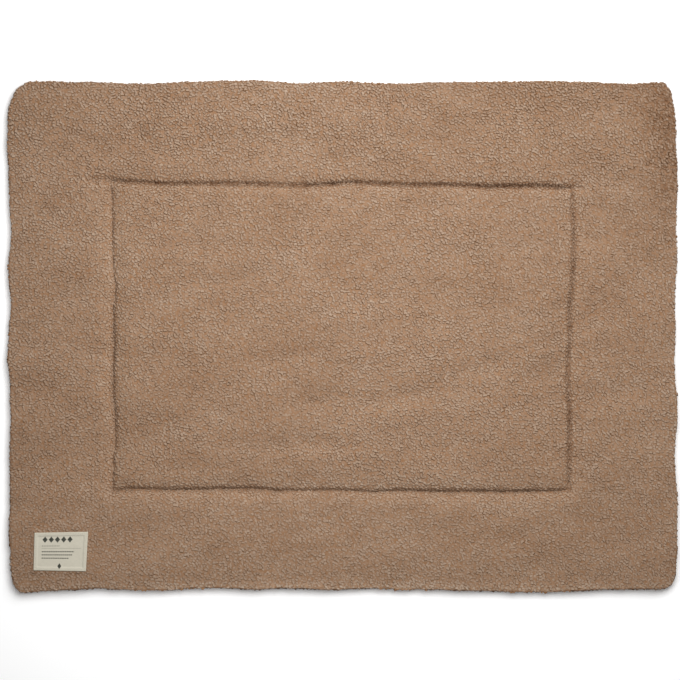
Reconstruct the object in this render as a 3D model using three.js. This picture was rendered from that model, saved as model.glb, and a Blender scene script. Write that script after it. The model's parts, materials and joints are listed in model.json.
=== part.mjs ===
// A padded playpen mat of teddy cloth, quilted along one rectangle, with a small label sewn flat
// in one corner. Millimetres, +Z up. The mat lies on z = 0 with its long side along X.
// Each solid is a grid of columns and rows whose top and bottom faces meet in a low wall.

import * as THREE from 'three';

// Driving sizes of the mat, measured flat between the straight parts of its edges
const MAT_LENGTH = 950;
const MAT_WIDTH = 723.5;
const BORDER = { left: 149.8, right: 151.5, top: 145.75, bottom: 143.25 };
const CORNER_RADIUS = { leftTop: 36, rightTop: 22, rightBottom: 24, leftBottom: 20 };

// Heights above the floor
const PANEL_TOP = 19;
const BORDER_TOP = 17.5;
const PANEL_SWELL = 2;
const BORDER_SWELL = 1;
const CHANNEL_TOP = 10;
const CHANNEL_LIFT = 2;
const EDGE_TOP = 14;
const RIM_TOP = 11;
const RIM_BOTTOM = 4;

// How far in from a sewn line the cloth takes to round over to its full height
const CHANNEL_REACH = 28;
const RIM_REACH = 4;
const UNDER_CHANNEL_REACH = 14;
const UNDER_RIM_REACH = 8;

// From the rounded edge, whose top is EDGE_TOP, the padding swells gently up to the border
const EDGE_SWELL_REACH = 75;

// How far the waves of the rim and the wander of the quilting line are felt in the cloth
const RIM_WAVE_REACH = 26;
const WANDER_REACH = 62;

// Grid lines, as distances in from the rim and from the quilting line
const RIM_STEPS = [0, 0.8, 2, 4, 8, 20, 45];
const OUTER_STEPS = [0, 4, 12, 28];
const INNER_STEPS = [4, 12, 28];
const WIDEST_CELL = 32;

// The label, its hems and the seat that its sewing presses into the pile
const LABEL_CORNERS = [
  { corner: 'left bottom', x: -438.4, y: -331.7 },
  { corner: 'right bottom', x: -364.0, y: -333.1 },
  { corner: 'right top', x: -361.0, y: -277.0 },
  { corner: 'left top', x: -436.9, y: -278.5 },
];
const LABEL_THICKNESS = 1;
const HEM_THICKNESS = 1.5;
const HEM_WIDTH = 4.5;
const HEM_STEP = 0.6;
const SEAT_HEIGHT = 16.6;
const SEAT_MARGIN = 1.2;
const SEAT_SLOPE = 2.8;
const GAP = 0.3;

// Waves of the rim: how far the cloth stands out of the straight line, along each side
const RIM_TOP_SIDE = [
  { x: -434, out: 1.3 },
  { x: -349, out: 0.7 },
  { x: -281, out: -2.0 },
  { x: -230, out: 1.1 },
  { x: -135, out: 3.0 },
  { x: -59, out: -0.6 },
  { x: 9, out: 0.9 },
  { x: 77, out: -2.0 },
  { x: 145, out: 0.7 },
  { x: 270, out: 1.3 },
  { x: 316, out: 1.6 },
  { x: 401, out: -1.3 },
  { x: 452, out: -0.1 },
];
const RIM_BOTTOM_SIDE = [
  { x: -451, out: 4.1 },
  { x: -400, out: 1.4 },
  { x: -349, out: -1.1 },
  { x: -264, out: 0.9 },
  { x: -196, out: -2.1 },
  { x: -127, out: -0.4 },
  { x: -68, out: -1.8 },
  { x: -17, out: 0.1 },
  { x: 26, out: -1.7 },
  { x: 128, out: -0.1 },
  { x: 187, out: 2.2 },
  { x: 299, out: 3.1 },
  { x: 384, out: -0.1 },
  { x: 452, out: -0.3 },
];
const RIM_LEFT_SIDE = [
  { y: -345, out: -4.0 },
  { y: -320, out: -0.7 },
  { y: -274, out: 0.1 },
  { y: -246, out: -1.1 },
  { y: -160, out: 0.1 },
  { y: -132, out: -1.3 },
  { y: -67, out: -0.4 },
  { y: -33, out: 2.7 },
  { y: 38, out: -1.6 },
  { y: 95, out: 1.0 },
  { y: 138, out: -2.0 },
  { y: 223, out: 0.3 },
  { y: 272, out: 3.1 },
  { y: 308, out: 1.7 },
  { y: 338, out: -1.5 },
];
const RIM_RIGHT_SIDE = [
  { y: -345, out: -0.8 },
  { y: -317, out: 1.3 },
  { y: -246, out: 1.3 },
  { y: -160, out: -1.4 },
  { y: -118, out: 2.1 },
  { y: -18, out: -2.6 },
  { y: 24, out: -1.1 },
  { y: 53, out: -2.2 },
  { y: 109, out: 1.4 },
  { y: 180, out: -0.9 },
  { y: 202, out: 1.7 },
  { y: 308, out: -1.0 },
  { y: 345, out: -6.0 },
];

// Wander of the quilting line off its straight rectangle, along each side
const CHANNEL_TOP_SIDE = [
  { x: -329, up: 5.0 },
  { x: -292, up: 3.5 },
  { x: -258, up: 1.1 },
  { x: -190, up: 0.9 },
  { x: -140, up: 0.4 },
  { x: -71, up: -1.5 },
  { x: -40, up: -0.9 },
  { x: -20, up: 0.4 },
  { x: 14, up: 2.8 },
  { x: 31, up: 1.9 },
  { x: 54, up: 0.3 },
  { x: 88, up: -1.4 },
  { x: 117, up: -1.5 },
  { x: 142, up: -0.7 },
  { x: 176, up: -2.2 },
  { x: 202, up: -3.7 },
  { x: 236, up: -2.9 },
  { x: 287, up: -2.6 },
  { x: 304, up: -4.7 },
  { x: 325, up: -5.8 },
];
const CHANNEL_BOTTOM_SIDE = [
  { x: -326, up: -1.2 },
  { x: -298, up: 2.0 },
  { x: -245, up: 0.5 },
  { x: -204, up: 1.0 },
  { x: -170, up: 2.1 },
  { x: -136, up: 2.5 },
  { x: -85, up: -0.7 },
  { x: -51, up: -0.6 },
  { x: -17, up: 0.2 },
  { x: 17, up: -0.7 },
  { x: 42, up: -2.4 },
  { x: 68, up: -0.8 },
  { x: 85, up: -0.5 },
  { x: 128, up: -2.0 },
  { x: 205, up: -1.8 },
  { x: 222, up: -2.3 },
  { x: 273, up: -1.6 },
  { x: 307, up: -1.1 },
  { x: 326, up: 0.1 },
];
const CHANNEL_LEFT_SIDE = [
  { y: -203, right: -1.6 },
  { y: -182, right: -0.6 },
  { y: -147, right: 2.2 },
  { y: -113, right: 2.2 },
  { y: -79, right: -1.6 },
  { y: -45, right: -0.8 },
  { y: -11, right: 0.2 },
  { y: 23, right: -1.2 },
  { y: 40, right: -0.6 },
  { y: 66, right: 3.0 },
  { y: 95, right: 0.0 },
  { y: 125, right: -1.5 },
  { y: 176, right: -1.6 },
  { y: 206, right: -3.0 },
];
const CHANNEL_RIGHT_SIDE = [
  { y: -183, right: -2.6 },
  { y: -114, right: -1.9 },
  { y: -79, right: -3.1 },
  { y: -62, right: -4.9 },
  { y: -45, right: -3.6 },
  { y: -28, right: -3.6 },
  { y: -3, right: -0.9 },
  { y: 23, right: -1.7 },
  { y: 40, right: -2.0 },
  { y: 57, right: 0.4 },
  { y: 85, right: 2.5 },
  { y: 108, right: 4.0 },
  { y: 145, right: 4.3 },
  { y: 214, right: 1.6 },
];

// Broad unevenness of the filling. Length is from crest to crest, heading is in degrees from +X
const FILLING_WAVES = [
  { length: 290, height: 0.6, heading: 24, shift: 0.6 },
  { length: 205, height: 0.5, heading: 98, shift: 2.1 },
  { length: 150, height: 0.4, heading: 141, shift: 4.4 },
];

const TEDDY = { color: 0xa2846c, roughness: 0.95, metalness: 0 };
const LABEL_CLOTH = { color: 0xc8beaa, roughness: 0.85, metalness: 0 };

const HALF_LENGTH = MAT_LENGTH / 2;
const HALF_WIDTH = MAT_WIDTH / 2;
const CHANNEL = {
  left: BORDER.left - HALF_LENGTH,
  right: HALF_LENGTH - BORDER.right,
  top: HALF_WIDTH - BORDER.top,
  bottom: BORDER.bottom - HALF_WIDTH,
};

// Smooth value of a table's column between the rows on either side, flat past its ends
function along(table, key, column, at) {
  const after = table.findIndex((row) => row[key] > at);
  if (after === 0) {
    return table[0][column];
  }
  if (after === -1) {
    return table[table.length - 1][column];
  }
  const low = table[after - 1];
  const high = table[after];
  const share = THREE.MathUtils.smoothstep(at, low[key], high[key]);
  return THREE.MathUtils.lerp(low[column], high[column], share);
}

// A quarter of an ellipse: 0 on the sewn line, steep there, and 1 from the reach onwards
function roundOver(distance, reach) {
  const left = 1 - Math.min(distance / reach, 1);
  return Math.sqrt(1 - left * left);
}

function fade(distance, reach) {
  return 1 - THREE.MathUtils.smoothstep(distance, 0, reach);
}

// Distances in from the four straight sides
function insets(x, y) {
  return {
    left: x + HALF_LENGTH,
    right: HALF_LENGTH - x,
    top: HALF_WIDTH - y,
    bottom: y + HALF_WIDTH,
  };
}

function rimDistance(x, y) {
  return Math.min(...Object.values(insets(x, y)));
}

// Distance from the quilted rectangle, and whether the point lies inside it
function channelDistances(x, y) {
  const outX = Math.max(CHANNEL.left - x, x - CHANNEL.right);
  const outY = Math.max(CHANNEL.bottom - y, y - CHANNEL.top);
  return { outX, outY, inside: outX < 0 && outY < 0 };
}

function channelRise(x, y, reach) {
  const { outX, outY, inside } = channelDistances(x, y);
  if (inside) {
    return roundOver(-outX, reach) * roundOver(-outY, reach);
  }
  return roundOver(Math.hypot(Math.max(outX, 0), Math.max(outY, 0)), reach);
}

function fillingWave(x, y) {
  let sum = 0;
  for (const wave of FILLING_WAVES) {
    const heading = THREE.MathUtils.degToRad(wave.heading);
    const travel = x * Math.cos(heading) + y * Math.sin(heading);
    sum += wave.height * Math.sin((2 * Math.PI * travel) / wave.length + wave.shift);
  }
  return sum;
}

// 1 on the label's seat and 0 past the slope around it
function seatShare(x, y) {
  const xs = LABEL_CORNERS.map((row) => row.x);
  const ys = LABEL_CORNERS.map((row) => row.y);
  const outX = Math.max(Math.min(...xs) - x, x - Math.max(...xs));
  const outY = Math.max(Math.min(...ys) - y, y - Math.max(...ys));
  return 1 - THREE.MathUtils.smoothstep(Math.max(outX, outY), SEAT_MARGIN, SEAT_MARGIN + SEAT_SLOPE);
}

function matTop(x, y) {
  const { outX, outY, inside } = channelDistances(x, y);
  const rim = roundOver(rimDistance(x, y), RIM_REACH);
  const channel = channelRise(x, y, CHANNEL_REACH);
  const slack = 1 - Math.min(rimDistance(x, y) / EDGE_SWELL_REACH, 1);
  const swell = 1 - slack * slack;
  let crown = EDGE_TOP + (BORDER_TOP + BORDER_SWELL * channel - EDGE_TOP) * swell;
  if (inside) {
    const acrossX = Math.min(-outX / (CHANNEL.right - CHANNEL.left), 0.5) * 2;
    const acrossY = Math.min(-outY / (CHANNEL.top - CHANNEL.bottom), 0.5) * 2;
    crown = PANEL_TOP + PANEL_SWELL * roundOver(acrossX, 1) * roundOver(acrossY, 1);
  }
  crown += fillingWave(x, y) * rim * channel;
  const height = crown - (crown - RIM_TOP) * (1 - rim) - (crown - CHANNEL_TOP) * (1 - channel);
  return THREE.MathUtils.lerp(height, SEAT_HEIGHT, seatShare(x, y));
}

function matBottom(x, y) {
  const rim = RIM_BOTTOM * (1 - roundOver(rimDistance(x, y), UNDER_RIM_REACH));
  const channel = CHANNEL_LIFT * (1 - channelRise(x, y, UNDER_CHANNEL_REACH));
  return rim + channel;
}

// Bends the grid lines round a corner as arcs that share one centre
function roundCorner(x, y) {
  const radius = CORNER_RADIUS[(x < 0 ? 'left' : 'right') + (y < 0 ? 'Bottom' : 'Top')];
  const inX = HALF_LENGTH - Math.abs(x);
  const inY = HALF_WIDTH - Math.abs(y);
  if (inX >= radius || inY >= radius) {
    return { x, y };
  }
  const ring = Math.min(inX, inY);
  const turned = (radius - Math.max(inX, inY)) / (radius - ring) / 2;
  const fromSide = (turned * Math.PI) / 2;
  const angle = inX < inY ? fromSide : Math.PI / 2 - fromSide;
  return {
    x: Math.sign(x) * (HALF_LENGTH - radius + (radius - ring) * Math.cos(angle)),
    y: Math.sign(y) * (HALF_WIDTH - radius + (radius - ring) * Math.sin(angle)),
  };
}

function matPlace(x, y) {
  const inset = insets(x, y);
  const spot = roundCorner(x, y);
  const rim = (table, key, at, distance) => along(table, key, 'out', at) * fade(distance, RIM_WAVE_REACH);
  const wander = (table, key, column, at, distance) => (
    along(table, key, column, at) * fade(Math.abs(distance), WANDER_REACH)
  );
  const right = rim(RIM_RIGHT_SIDE, 'y', y, inset.right)
    - rim(RIM_LEFT_SIDE, 'y', y, inset.left)
    + wander(CHANNEL_LEFT_SIDE, 'y', 'right', y, x - CHANNEL.left)
    + wander(CHANNEL_RIGHT_SIDE, 'y', 'right', y, x - CHANNEL.right);
  const up = rim(RIM_TOP_SIDE, 'x', x, inset.top)
    - rim(RIM_BOTTOM_SIDE, 'x', x, inset.bottom)
    + wander(CHANNEL_BOTTOM_SIDE, 'x', 'up', x, y - CHANNEL.bottom)
    + wander(CHANNEL_TOP_SIDE, 'x', 'up', x, y - CHANNEL.top);
  return { x: spot.x + right, y: spot.y + up };
}

// Fills the wide stretches between neighbouring lines with evenly spaced ones
function fillLines(lines, widest) {
  const sorted = [...lines].sort((a, b) => a - b);
  const filled = [sorted[0]];
  for (const line of sorted.slice(1)) {
    const from = filled[filled.length - 1];
    const cells = Math.ceil((line - from) / widest);
    for (let cell = 1; cell <= cells; cell += 1) {
      filled.push(from + ((line - from) * cell) / cells);
    }
  }
  return filled;
}

// Grid lines across the mat, close together at the rim, the channel and the label's seat
function matLines(half, low, high, seatLow, seatHigh) {
  const lines = [];
  for (const step of RIM_STEPS) {
    lines.push(-half + step, half - step);
  }
  for (const step of OUTER_STEPS) {
    lines.push(low - step, high + step);
  }
  for (const step of INNER_STEPS) {
    lines.push(low + step, high - step);
  }
  for (const margin of [SEAT_MARGIN, SEAT_MARGIN + SEAT_SLOPE]) {
    lines.push(seatLow - margin, seatHigh + margin);
  }
  return fillLines(lines, WIDEST_CELL);
}

// A closed solid over a grid: a top face, a bottom face and a wall between their borders
function gridSolid(columns, rows, place, top, bottom) {
  const positions = [];
  for (const height of [top, bottom]) {
    for (const y of rows) {
      for (const x of columns) {
        const spot = place(x, y);
        positions.push(spot.x, spot.y, height(x, y));
      }
    }
  }
  const wide = columns.length;
  const layer = wide * rows.length;
  const faces = [];
  for (let row = 0; row < rows.length - 1; row += 1) {
    for (let column = 0; column < wide - 1; column += 1) {
      const a = row * wide + column;
      const [b, c, d] = [a + 1, a + 1 + wide, a + wide];
      const middleX = columns[column] + columns[column + 1];
      const middleY = rows[row] + rows[row + 1];
      const halves = middleX * middleY > 0 ? [[a, b, c], [a, c, d]] : [[a, b, d], [b, c, d]];
      for (const [p, q, r] of halves) {
        faces.push(p, q, r);
        faces.push(layer + p, layer + r, layer + q);
      }
    }
  }
  const border = [];
  for (let column = 0; column < wide - 1; column += 1) {
    border.push(column);
  }
  for (let row = 0; row < rows.length - 1; row += 1) {
    border.push(row * wide + wide - 1);
  }
  for (let column = wide - 1; column > 0; column -= 1) {
    border.push(layer - wide + column);
  }
  for (let row = rows.length - 1; row > 0; row -= 1) {
    border.push(row * wide);
  }
  border.forEach((from, index) => {
    const to = border[(index + 1) % border.length];
    faces.push(layer + from, layer + to, to);
    faces.push(layer + from, to, from);
  });
  const geometry = new THREE.BufferGeometry();
  geometry.setAttribute('position', new THREE.Float32BufferAttribute(positions, 3));
  geometry.setIndex(faces);
  geometry.computeVertexNormals();
  return geometry;
}

function makeMat() {
  const xs = LABEL_CORNERS.map((row) => row.x);
  const ys = LABEL_CORNERS.map((row) => row.y);
  const columns = matLines(HALF_LENGTH, CHANNEL.left, CHANNEL.right, Math.min(...xs), Math.max(...xs));
  const rows = matLines(HALF_WIDTH, CHANNEL.bottom, CHANNEL.top, Math.min(...ys), Math.max(...ys));
  const geometry = gridSolid(columns, rows, matPlace, matTop, matBottom);
  const mesh = new THREE.Mesh(geometry, new THREE.MeshStandardMaterial(TEDDY));
  mesh.name = 'mat';
  return mesh;
}

// The label's own grid runs from 0 to 1 each way, between its four corners
function labelPlace(u, v) {
  const [leftBottom, rightBottom, rightTop, leftTop] = LABEL_CORNERS;
  const blend = (key) => THREE.MathUtils.lerp(
    THREE.MathUtils.lerp(leftBottom[key], rightBottom[key], u),
    THREE.MathUtils.lerp(leftTop[key], rightTop[key], u),
    v,
  );
  return { x: blend('x'), y: blend('y') };
}

function makeLabel() {
  const [leftBottom, rightBottom, , leftTop] = LABEL_CORNERS;
  const length = rightBottom.x - leftBottom.x;
  const height = leftTop.y - leftBottom.y;
  const lines = (size) => [0, HEM_WIDTH / size, (HEM_WIDTH + HEM_STEP) / size, 0.5]
    .flatMap((share) => (share === 0.5 ? [share] : [share, 1 - share]))
    .sort((a, b) => a - b);
  const underside = SEAT_HEIGHT + GAP;
  const top = (u, v) => {
    const edge = Math.min(Math.min(u, 1 - u) * length, Math.min(v, 1 - v) * height);
    const isHem = edge < HEM_WIDTH + HEM_STEP / 2;
    return underside + (isHem ? HEM_THICKNESS : LABEL_THICKNESS);
  };
  const geometry = gridSolid(lines(length), lines(height), labelPlace, top, () => underside);
  const mesh = new THREE.Mesh(geometry, new THREE.MeshStandardMaterial(LABEL_CLOTH));
  mesh.name = 'label';
  return mesh;
}

const playpenMat = new THREE.Group();
playpenMat.add(makeMat(), makeLabel());

// The origin is on the floor, under the middle of the mat's outline
const outline = new THREE.Box3().setFromObject(playpenMat);
const middle = outline.getCenter(new THREE.Vector3());
playpenMat.position.set(-middle.x, -middle.y, 0);

export default playpenMat;
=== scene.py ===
"""A padded playpen mat of brown teddy cloth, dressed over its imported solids.

The mat is one filled, quilted body with a turned edge. Its pile is short curls of fleece, laid
over the body in patches. A small woven label lies in a seat in one corner, sewn round its edge.
Tables and the sizes of the cloth are in millimetres, times MM where a mesh is made.
"""

import json
import math

import bpy
import numpy as np
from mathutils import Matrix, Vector

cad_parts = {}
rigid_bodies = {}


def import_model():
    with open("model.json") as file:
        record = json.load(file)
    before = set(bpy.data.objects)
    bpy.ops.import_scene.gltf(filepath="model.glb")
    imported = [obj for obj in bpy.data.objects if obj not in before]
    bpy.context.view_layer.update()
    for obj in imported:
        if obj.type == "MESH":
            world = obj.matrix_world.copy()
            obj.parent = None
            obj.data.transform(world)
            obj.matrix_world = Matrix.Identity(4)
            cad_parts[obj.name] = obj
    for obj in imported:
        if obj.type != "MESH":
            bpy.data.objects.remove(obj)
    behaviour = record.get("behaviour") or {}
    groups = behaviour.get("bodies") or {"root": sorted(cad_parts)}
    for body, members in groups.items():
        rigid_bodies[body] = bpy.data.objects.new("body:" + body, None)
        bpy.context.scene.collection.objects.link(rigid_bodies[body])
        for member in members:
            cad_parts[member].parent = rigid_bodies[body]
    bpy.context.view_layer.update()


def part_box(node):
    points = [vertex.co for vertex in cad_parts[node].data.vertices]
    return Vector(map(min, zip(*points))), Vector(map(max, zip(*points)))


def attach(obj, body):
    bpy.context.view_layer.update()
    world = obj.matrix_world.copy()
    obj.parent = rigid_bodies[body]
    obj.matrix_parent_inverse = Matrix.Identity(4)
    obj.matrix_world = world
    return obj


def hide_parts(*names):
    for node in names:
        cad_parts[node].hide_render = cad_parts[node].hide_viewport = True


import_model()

bl_info = {
    "name": "Playpen Mat",
    "version": (1, 0, 0),
    "blender": (4, 5, 0),
    "location": "3D View > Sidebar > Playpen Mat",
    "description": "Makes a padded mat of teddy cloth with a quilted channel and a sewn label",
    "category": "Mesh",
}

MM = 0.001

# The mat's outline and quilting line, as the solids have them
HALF_LENGTH = 475
HALF_WIDTH = 361.75
CHANNEL = {"left": -325.2, "right": 323.5, "bottom": -218.5, "top": 216}
CORNER_RADIUS = {"left_top": 36, "right_top": 22, "right_bottom": 24, "left_bottom": 20}

# Heights of the cloth above the floor, and how far it takes to round over from a sewn line. Inside
# the quilting line is the panel, and outside it the border
PANEL_TOP = 19
BORDER_TOP = 17.5
PANEL_SWELL = 2
BORDER_SWELL = 1
CHANNEL_TOP = 10
CHANNEL_LIFT = 2
CHANNEL_REACH = 28
UNDER_CHANNEL_REACH = 14
RIM_TOP = 11
RIM_BOTTOM = 4
RIM_REACH = 4
UNDER_RIM_REACH = 8
RIM_NOTCH = 1.2
# At the rim the cloth lies deeper in its pile, by this share of the pile's height
RIM_INSET = 0.45
# How upright the curls stand: less on the rim, and less from END_STAND_FROM to the short ends
RIM_STAND = 0.6
END_STAND = 0.88
END_STAND_FROM = 300
# They also lie flatter towards the lower edge. Columns: place up the mat, how upright
STAND_UP_THE_MAT = ((-361, 0.14), (-230, 0.18), (-200, 0.38), (210, 0.44), (240, 0.6), (361, 0.68))
# From the rounded edge, whose top is EDGE_TOP, the padding swells gently up to the border
EDGE_TOP = 14
EDGE_SWELL_REACH = 75
# How far from the rim its waves die out, and from the quilting line its wander
RIM_WAVE_REACH = 26
WANDER_REACH = 62

# Waves of the rim. Columns: place along the side, how far the cloth stands out there
RIM_WAVES = {
    "top": (
        (-434, 1.3), (-349, 0.7), (-281, -2.0), (-230, 1.1), (-135, 3.0), (-59, -0.6), (9, 0.9),
        (77, -2.0), (145, 0.7), (270, 1.3), (316, 1.6), (401, -1.3), (452, -0.1),
    ),
    "bottom": (
        (-451, 4.1), (-400, 1.4), (-349, -1.1), (-264, 0.9), (-196, -2.1), (-127, -0.4),
        (-68, -1.8), (-17, 0.1), (26, -1.7), (128, -0.1), (187, 2.2), (299, 3.1), (384, -0.1),
        (452, -0.3),
    ),
    "left": (
        (-345, -4.0), (-320, -0.7), (-274, 0.1), (-246, -1.1), (-160, 0.1), (-132, -1.3),
        (-67, -0.4), (-33, 2.7), (38, -1.6), (95, 1.0), (138, -2.0), (223, 0.3), (272, 3.1),
        (308, 1.7), (338, -1.5),
    ),
    "right": (
        (-345, -0.8), (-317, 1.3), (-246, 1.3), (-160, -1.4), (-118, 2.1), (-18, -2.6),
        (24, -1.1), (53, -2.2), (109, 1.4), (180, -0.9), (202, 1.7), (308, -1.0), (345, -6.0),
    ),
}

# Wander of the quilting line. Columns: place along the side, how far it strays up or to the right
CHANNEL_WANDER = {
    "top": (
        (-329, 5.0), (-292, 3.5), (-258, 1.1), (-190, 0.9), (-140, 0.4), (-71, -1.5), (-40, -0.9),
        (-20, 0.4), (14, 2.8), (31, 1.9), (54, 0.3), (88, -1.4), (117, -1.5), (142, -0.7),
        (176, -2.2), (202, -3.7), (236, -2.9), (287, -2.6), (304, -4.7), (325, -5.8),
    ),
    "bottom": (
        (-326, -1.2), (-298, 2.0), (-245, 0.5), (-204, 1.0), (-170, 2.1), (-136, 2.5),
        (-85, -0.7), (-51, -0.6), (-17, 0.2), (17, -0.7), (42, -2.4), (68, -0.8), (85, -0.5),
        (128, -2.0), (205, -1.8), (222, -2.3), (273, -1.6), (307, -1.1), (326, 0.1),
    ),
    "left": (
        (-203, -1.6), (-182, -0.6), (-147, 2.2), (-113, 2.2), (-79, -1.6), (-45, -0.8),
        (-11, 0.2), (23, -1.2), (40, -0.6), (66, 3.0), (95, 0), (125, -1.5), (176, -1.6),
        (206, -3.0),
    ),
    "right": (
        (-183, -2.6), (-114, -1.9), (-79, -3.1), (-62, -4.9), (-45, -3.6), (-28, -3.6),
        (-3, -0.9), (23, -1.7), (40, -2.0), (57, 0.4), (85, 2.5), (108, 4.0), (145, 4.3),
        (214, 1.6),
    ),
}

# Broad waves of the filling. Columns: crest to crest, height, heading in degrees, shift
FILLING_WAVES = ((290, 0.6, 24, 0.6), (205, 0.5, 98, 2.1), (150, 0.4, 141, 4.4))
# Lumps of the filling. Columns: size along X, size along Y, height
FILLING_LUMPS = ((170, 62, 1.1), (120, 24, 1.0), (48, 30, 0.8), (26, 17, 0.4))
# The long lumps slant up towards the right, by this share
LUMP_SLANT = 0.1
# Seeds of the tables that give uneven lumps. The filling and the pleats count up from theirs
FILLING_SEED = 11
PLEAT_SEED = 31
CREASE_SEED = 47
RUFFLE_SEED = 61
RIPPLE_SEED = 71
SEAM_SHADE_SEED = 83
LUMP_TABLE_SIDE = 128
# Soft wrinkles, given one by one. Columns: middle X and Y, half length, half width, depth, and
# heading in degrees
WRINKLES = (
    (-81, -30, 62, 11, 2.8, 8),
    (182, -49, 78, 11, 2.7, 18),
    (82, -87, 56, 10, 1.7, 12),
    (-45, -91, 40, 10, 1.5, 5),
    (-17, -155, 56, 10, 2.1, -4),
    (-95, -156, 14, 9, 1.7, 0),
    (-159, 129, 112, 9, 1.3, 3),
    (-216, 75, 76, 9, 1.1, 6),
    (253, -20, 56, 9, 1.7, 16),
    (281, -58, 30, 8, 1.5, 10),
    (-201, -187, 70, 10, 1.3, 2),
    (-280, 277, 20, 8, 2.5, -47),
    (-365, 279, 30, 9, 1.9, -15),
    (-17, 247, 13, 10, 2.3, 0),
    (-422, -78, 32, 20, 2.7, 0),
    (352, 30, 26, 12, 1.9, 60),
    (-10, -268, 25, 14, 1.7, 80),
    (285, -305, 32, 11, 2.1, 60),
    (-45, -318, 22, 12, 1.7, 90),
)
# Painted shade on the upper wall of a wrinkle, which faces away from the light, and painted light
# on its lower wall: how far off the middle of the wrinkle, and the change of shade for each
# millimetre of depth
WRINKLE_WALL = 7
WALL_PAINTED_SHADE = -0.022
WALL_PAINTED_LIGHT = 0.01
# Painted light and shade in broad patches: darker at the sides and corners that less light
# reaches, lighter along the rims and beside the quilting line. Columns: middle X and Y, half
# length, half width, change of shade
PAINTED_LIGHT_PATCHES = (
    (-462, -100, 42, 100, -0.06),
    (-455, 95, 60, 150, 0.045),
    (-100, 328, 190, 34, 0.05),
    (-165, -332, 90, 36, 0.07),
    (150, -332, 220, 36, 0.045),
    (30, -214, 100, 22, 0.08),
    (476, 270, 52, 120, -0.25),
    (440, 340, 70, 40, -0.05),
    (-400, 325, 60, 60, -0.04),
    (470, -65, 40, 70, 0.05),
    (-150, 354, 150, 12, 0.07),
    (-220, -32, 170, 30, -0.045),
    (400, -345, 150, 60, -0.03),
    (-60, 310, 120, 60, 0.05),
    (340, 140, 60, 60, 0.03),
    (0, -359, 900, 8, 0.28),
    (-474, 0, 7, 330, 0.08),
    (474, 0, 7, 330, 0.1),
    (0, -211, 330, 6, 0.09),
    (0, 210, 330, 4, 0.09),
    (-319, 0, 5, 210, 0.07),
    (317, 0, 5, 210, 0.06),
    (330, 0, 5, 210, 0.05),
)
# The upper row of quilting draws the cloth in past its two corners, this deep and with this half
# width. Columns: middle X, half length
DRAWN_CORNERS = ((-338, 24), (328, 12))
DRAWN_DEPTH = 5.5
DRAWN_WIDTH = 4.2
# Pleats that the quilting thread draws in. Columns: size along the line, height
PLEATS = ((31, 0.9), (14, 0.45))
# Each is this many times as long as it is wide, begins off the line and fades out from it
PLEAT_SLENDERNESS = 4
PLEAT_START = 3
PLEAT_REACH = 17
# Keeps the four sides apart in the tables of lumps
SIDE_SHIFT = 500
# The quilting thread pulls a narrow crease into the channel, deeper on some sides
# Columns: depth, reach, and half width of the strip where no curl grows
CREASE = {
    "left": (1.0, 2.8, 0.1),
    "right": (1.3, 2.6, 0.1),
    "bottom": (1.3, 2.0, 0.1),
    "top": (2.8, 2.2, 0.2),
}
# The crease is uneven along the line: size of its stretches, and share of its depth
CREASE_MARK = 17
CREASE_UNEVENNESS = 0.3
# Painted shade in the crease along the thread: half width of the shaded strip, the size and the
# strength of its uneven marks, and the change of shade on each side of the mat
SEAM_SHADE_REACH = 2.2
SEAM_SHADE_MARK = 6
SEAM_SHADE_UNEVENNESS = 0.7
SEAM_PAINTED_SHADE = {"left": -0.05, "right": -0.14, "bottom": -0.14, "top": -0.3}
# The upper end of the left row is sewn slack, so its channel is shallower there: by what share,
# from which place up, over what run, and how far to each side of the row
SLACK_SHARE = 0.4
SLACK_FROM = 20
SLACK_RUN = 90
SLACK_REACH = 60
# How tight the thread was pulled. Columns: place along the side, share of the crease's depth
CREASE_PULL = {
    "left": ((-204, 0.8), (-165, 0.8), (-91, 1.6), (-5, 1.2), (65, 0.7), (151, 0.45), (207, 0.7)),
    "right": ((-204, 1.0), (-130, 1.2), (-91, 1.0), (-20, 1.2), (65, 0.9), (207, 0.8)),
    "bottom": (
        (-315, 0.8), (-230, 0.9), (-187, 1.2), (-145, 1.35), (-102, 0.9), (-74, 0.5),
        (20, 0.4), (82, 0.8), (130, 1.0), (310, 1.05),
    ),
    "top": (
        (-343, 1.0), (-250, 0.85), (-60, 0.8), (-10, 1.1), (8, 0.8), (75, 1.15), (310, 1.25),
    ),
}

# The label's corners from the lower left one round, and its cloth, whose hems are folded under
LABEL_CORNERS = ((-438.4, -331.7), (-364.0, -333.1), (-361.0, -277.0), (-436.9, -278.5))
LABEL_THICKNESS = 0.8
HEM_THICKNESS = 1.3
HEM_WIDTH = 4.5
HEM_STEP = 0.8
LABEL_EDGE = 0.35
LABEL_CELL = 1.6
LABEL_RIPPLE = 0.22
# Its thread draws it in a little along the seam: how far in that is, how deep and how wide
LABEL_SEAM = 2.2
LABEL_DRAWN = 0.08
LABEL_DRAWN_REACH = 0.7
# Its seat in the pile: height, margin round the label, slope beyond it, and the gap under it
SEAT_HEIGHT = 16.6
SEAT_MARGIN = 1.2
SEAT_SLOPE = 2.8
SEAT_GAP = 0.3
# No curl grows under the label, so the ground lies nearer to its seat by this share of the pile
SEAT_BARE = 0.97

# Stitches of the quilting thread and of the label's thread, and how many points a side of either
# row is laid through
QUILT_STITCH = {"length": 3.9, "pitch": 4.8, "thickness": 0.75}
LABEL_STITCH = {"length": 2.1, "pitch": 2.7, "thickness": 0.42}
QUILT_STATIONS = 100
LABEL_STATIONS = 24
# The label's thread lies this share of its thickness above the cloth, and is paler than the label
LABEL_STITCH_LIFT = 0.2
LABEL_THREAD_SHADE = 1.25

# Small ruffles of the turned edge
RUFFLE_SIZE = 17
RUFFLE_RISE = 0.9

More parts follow.
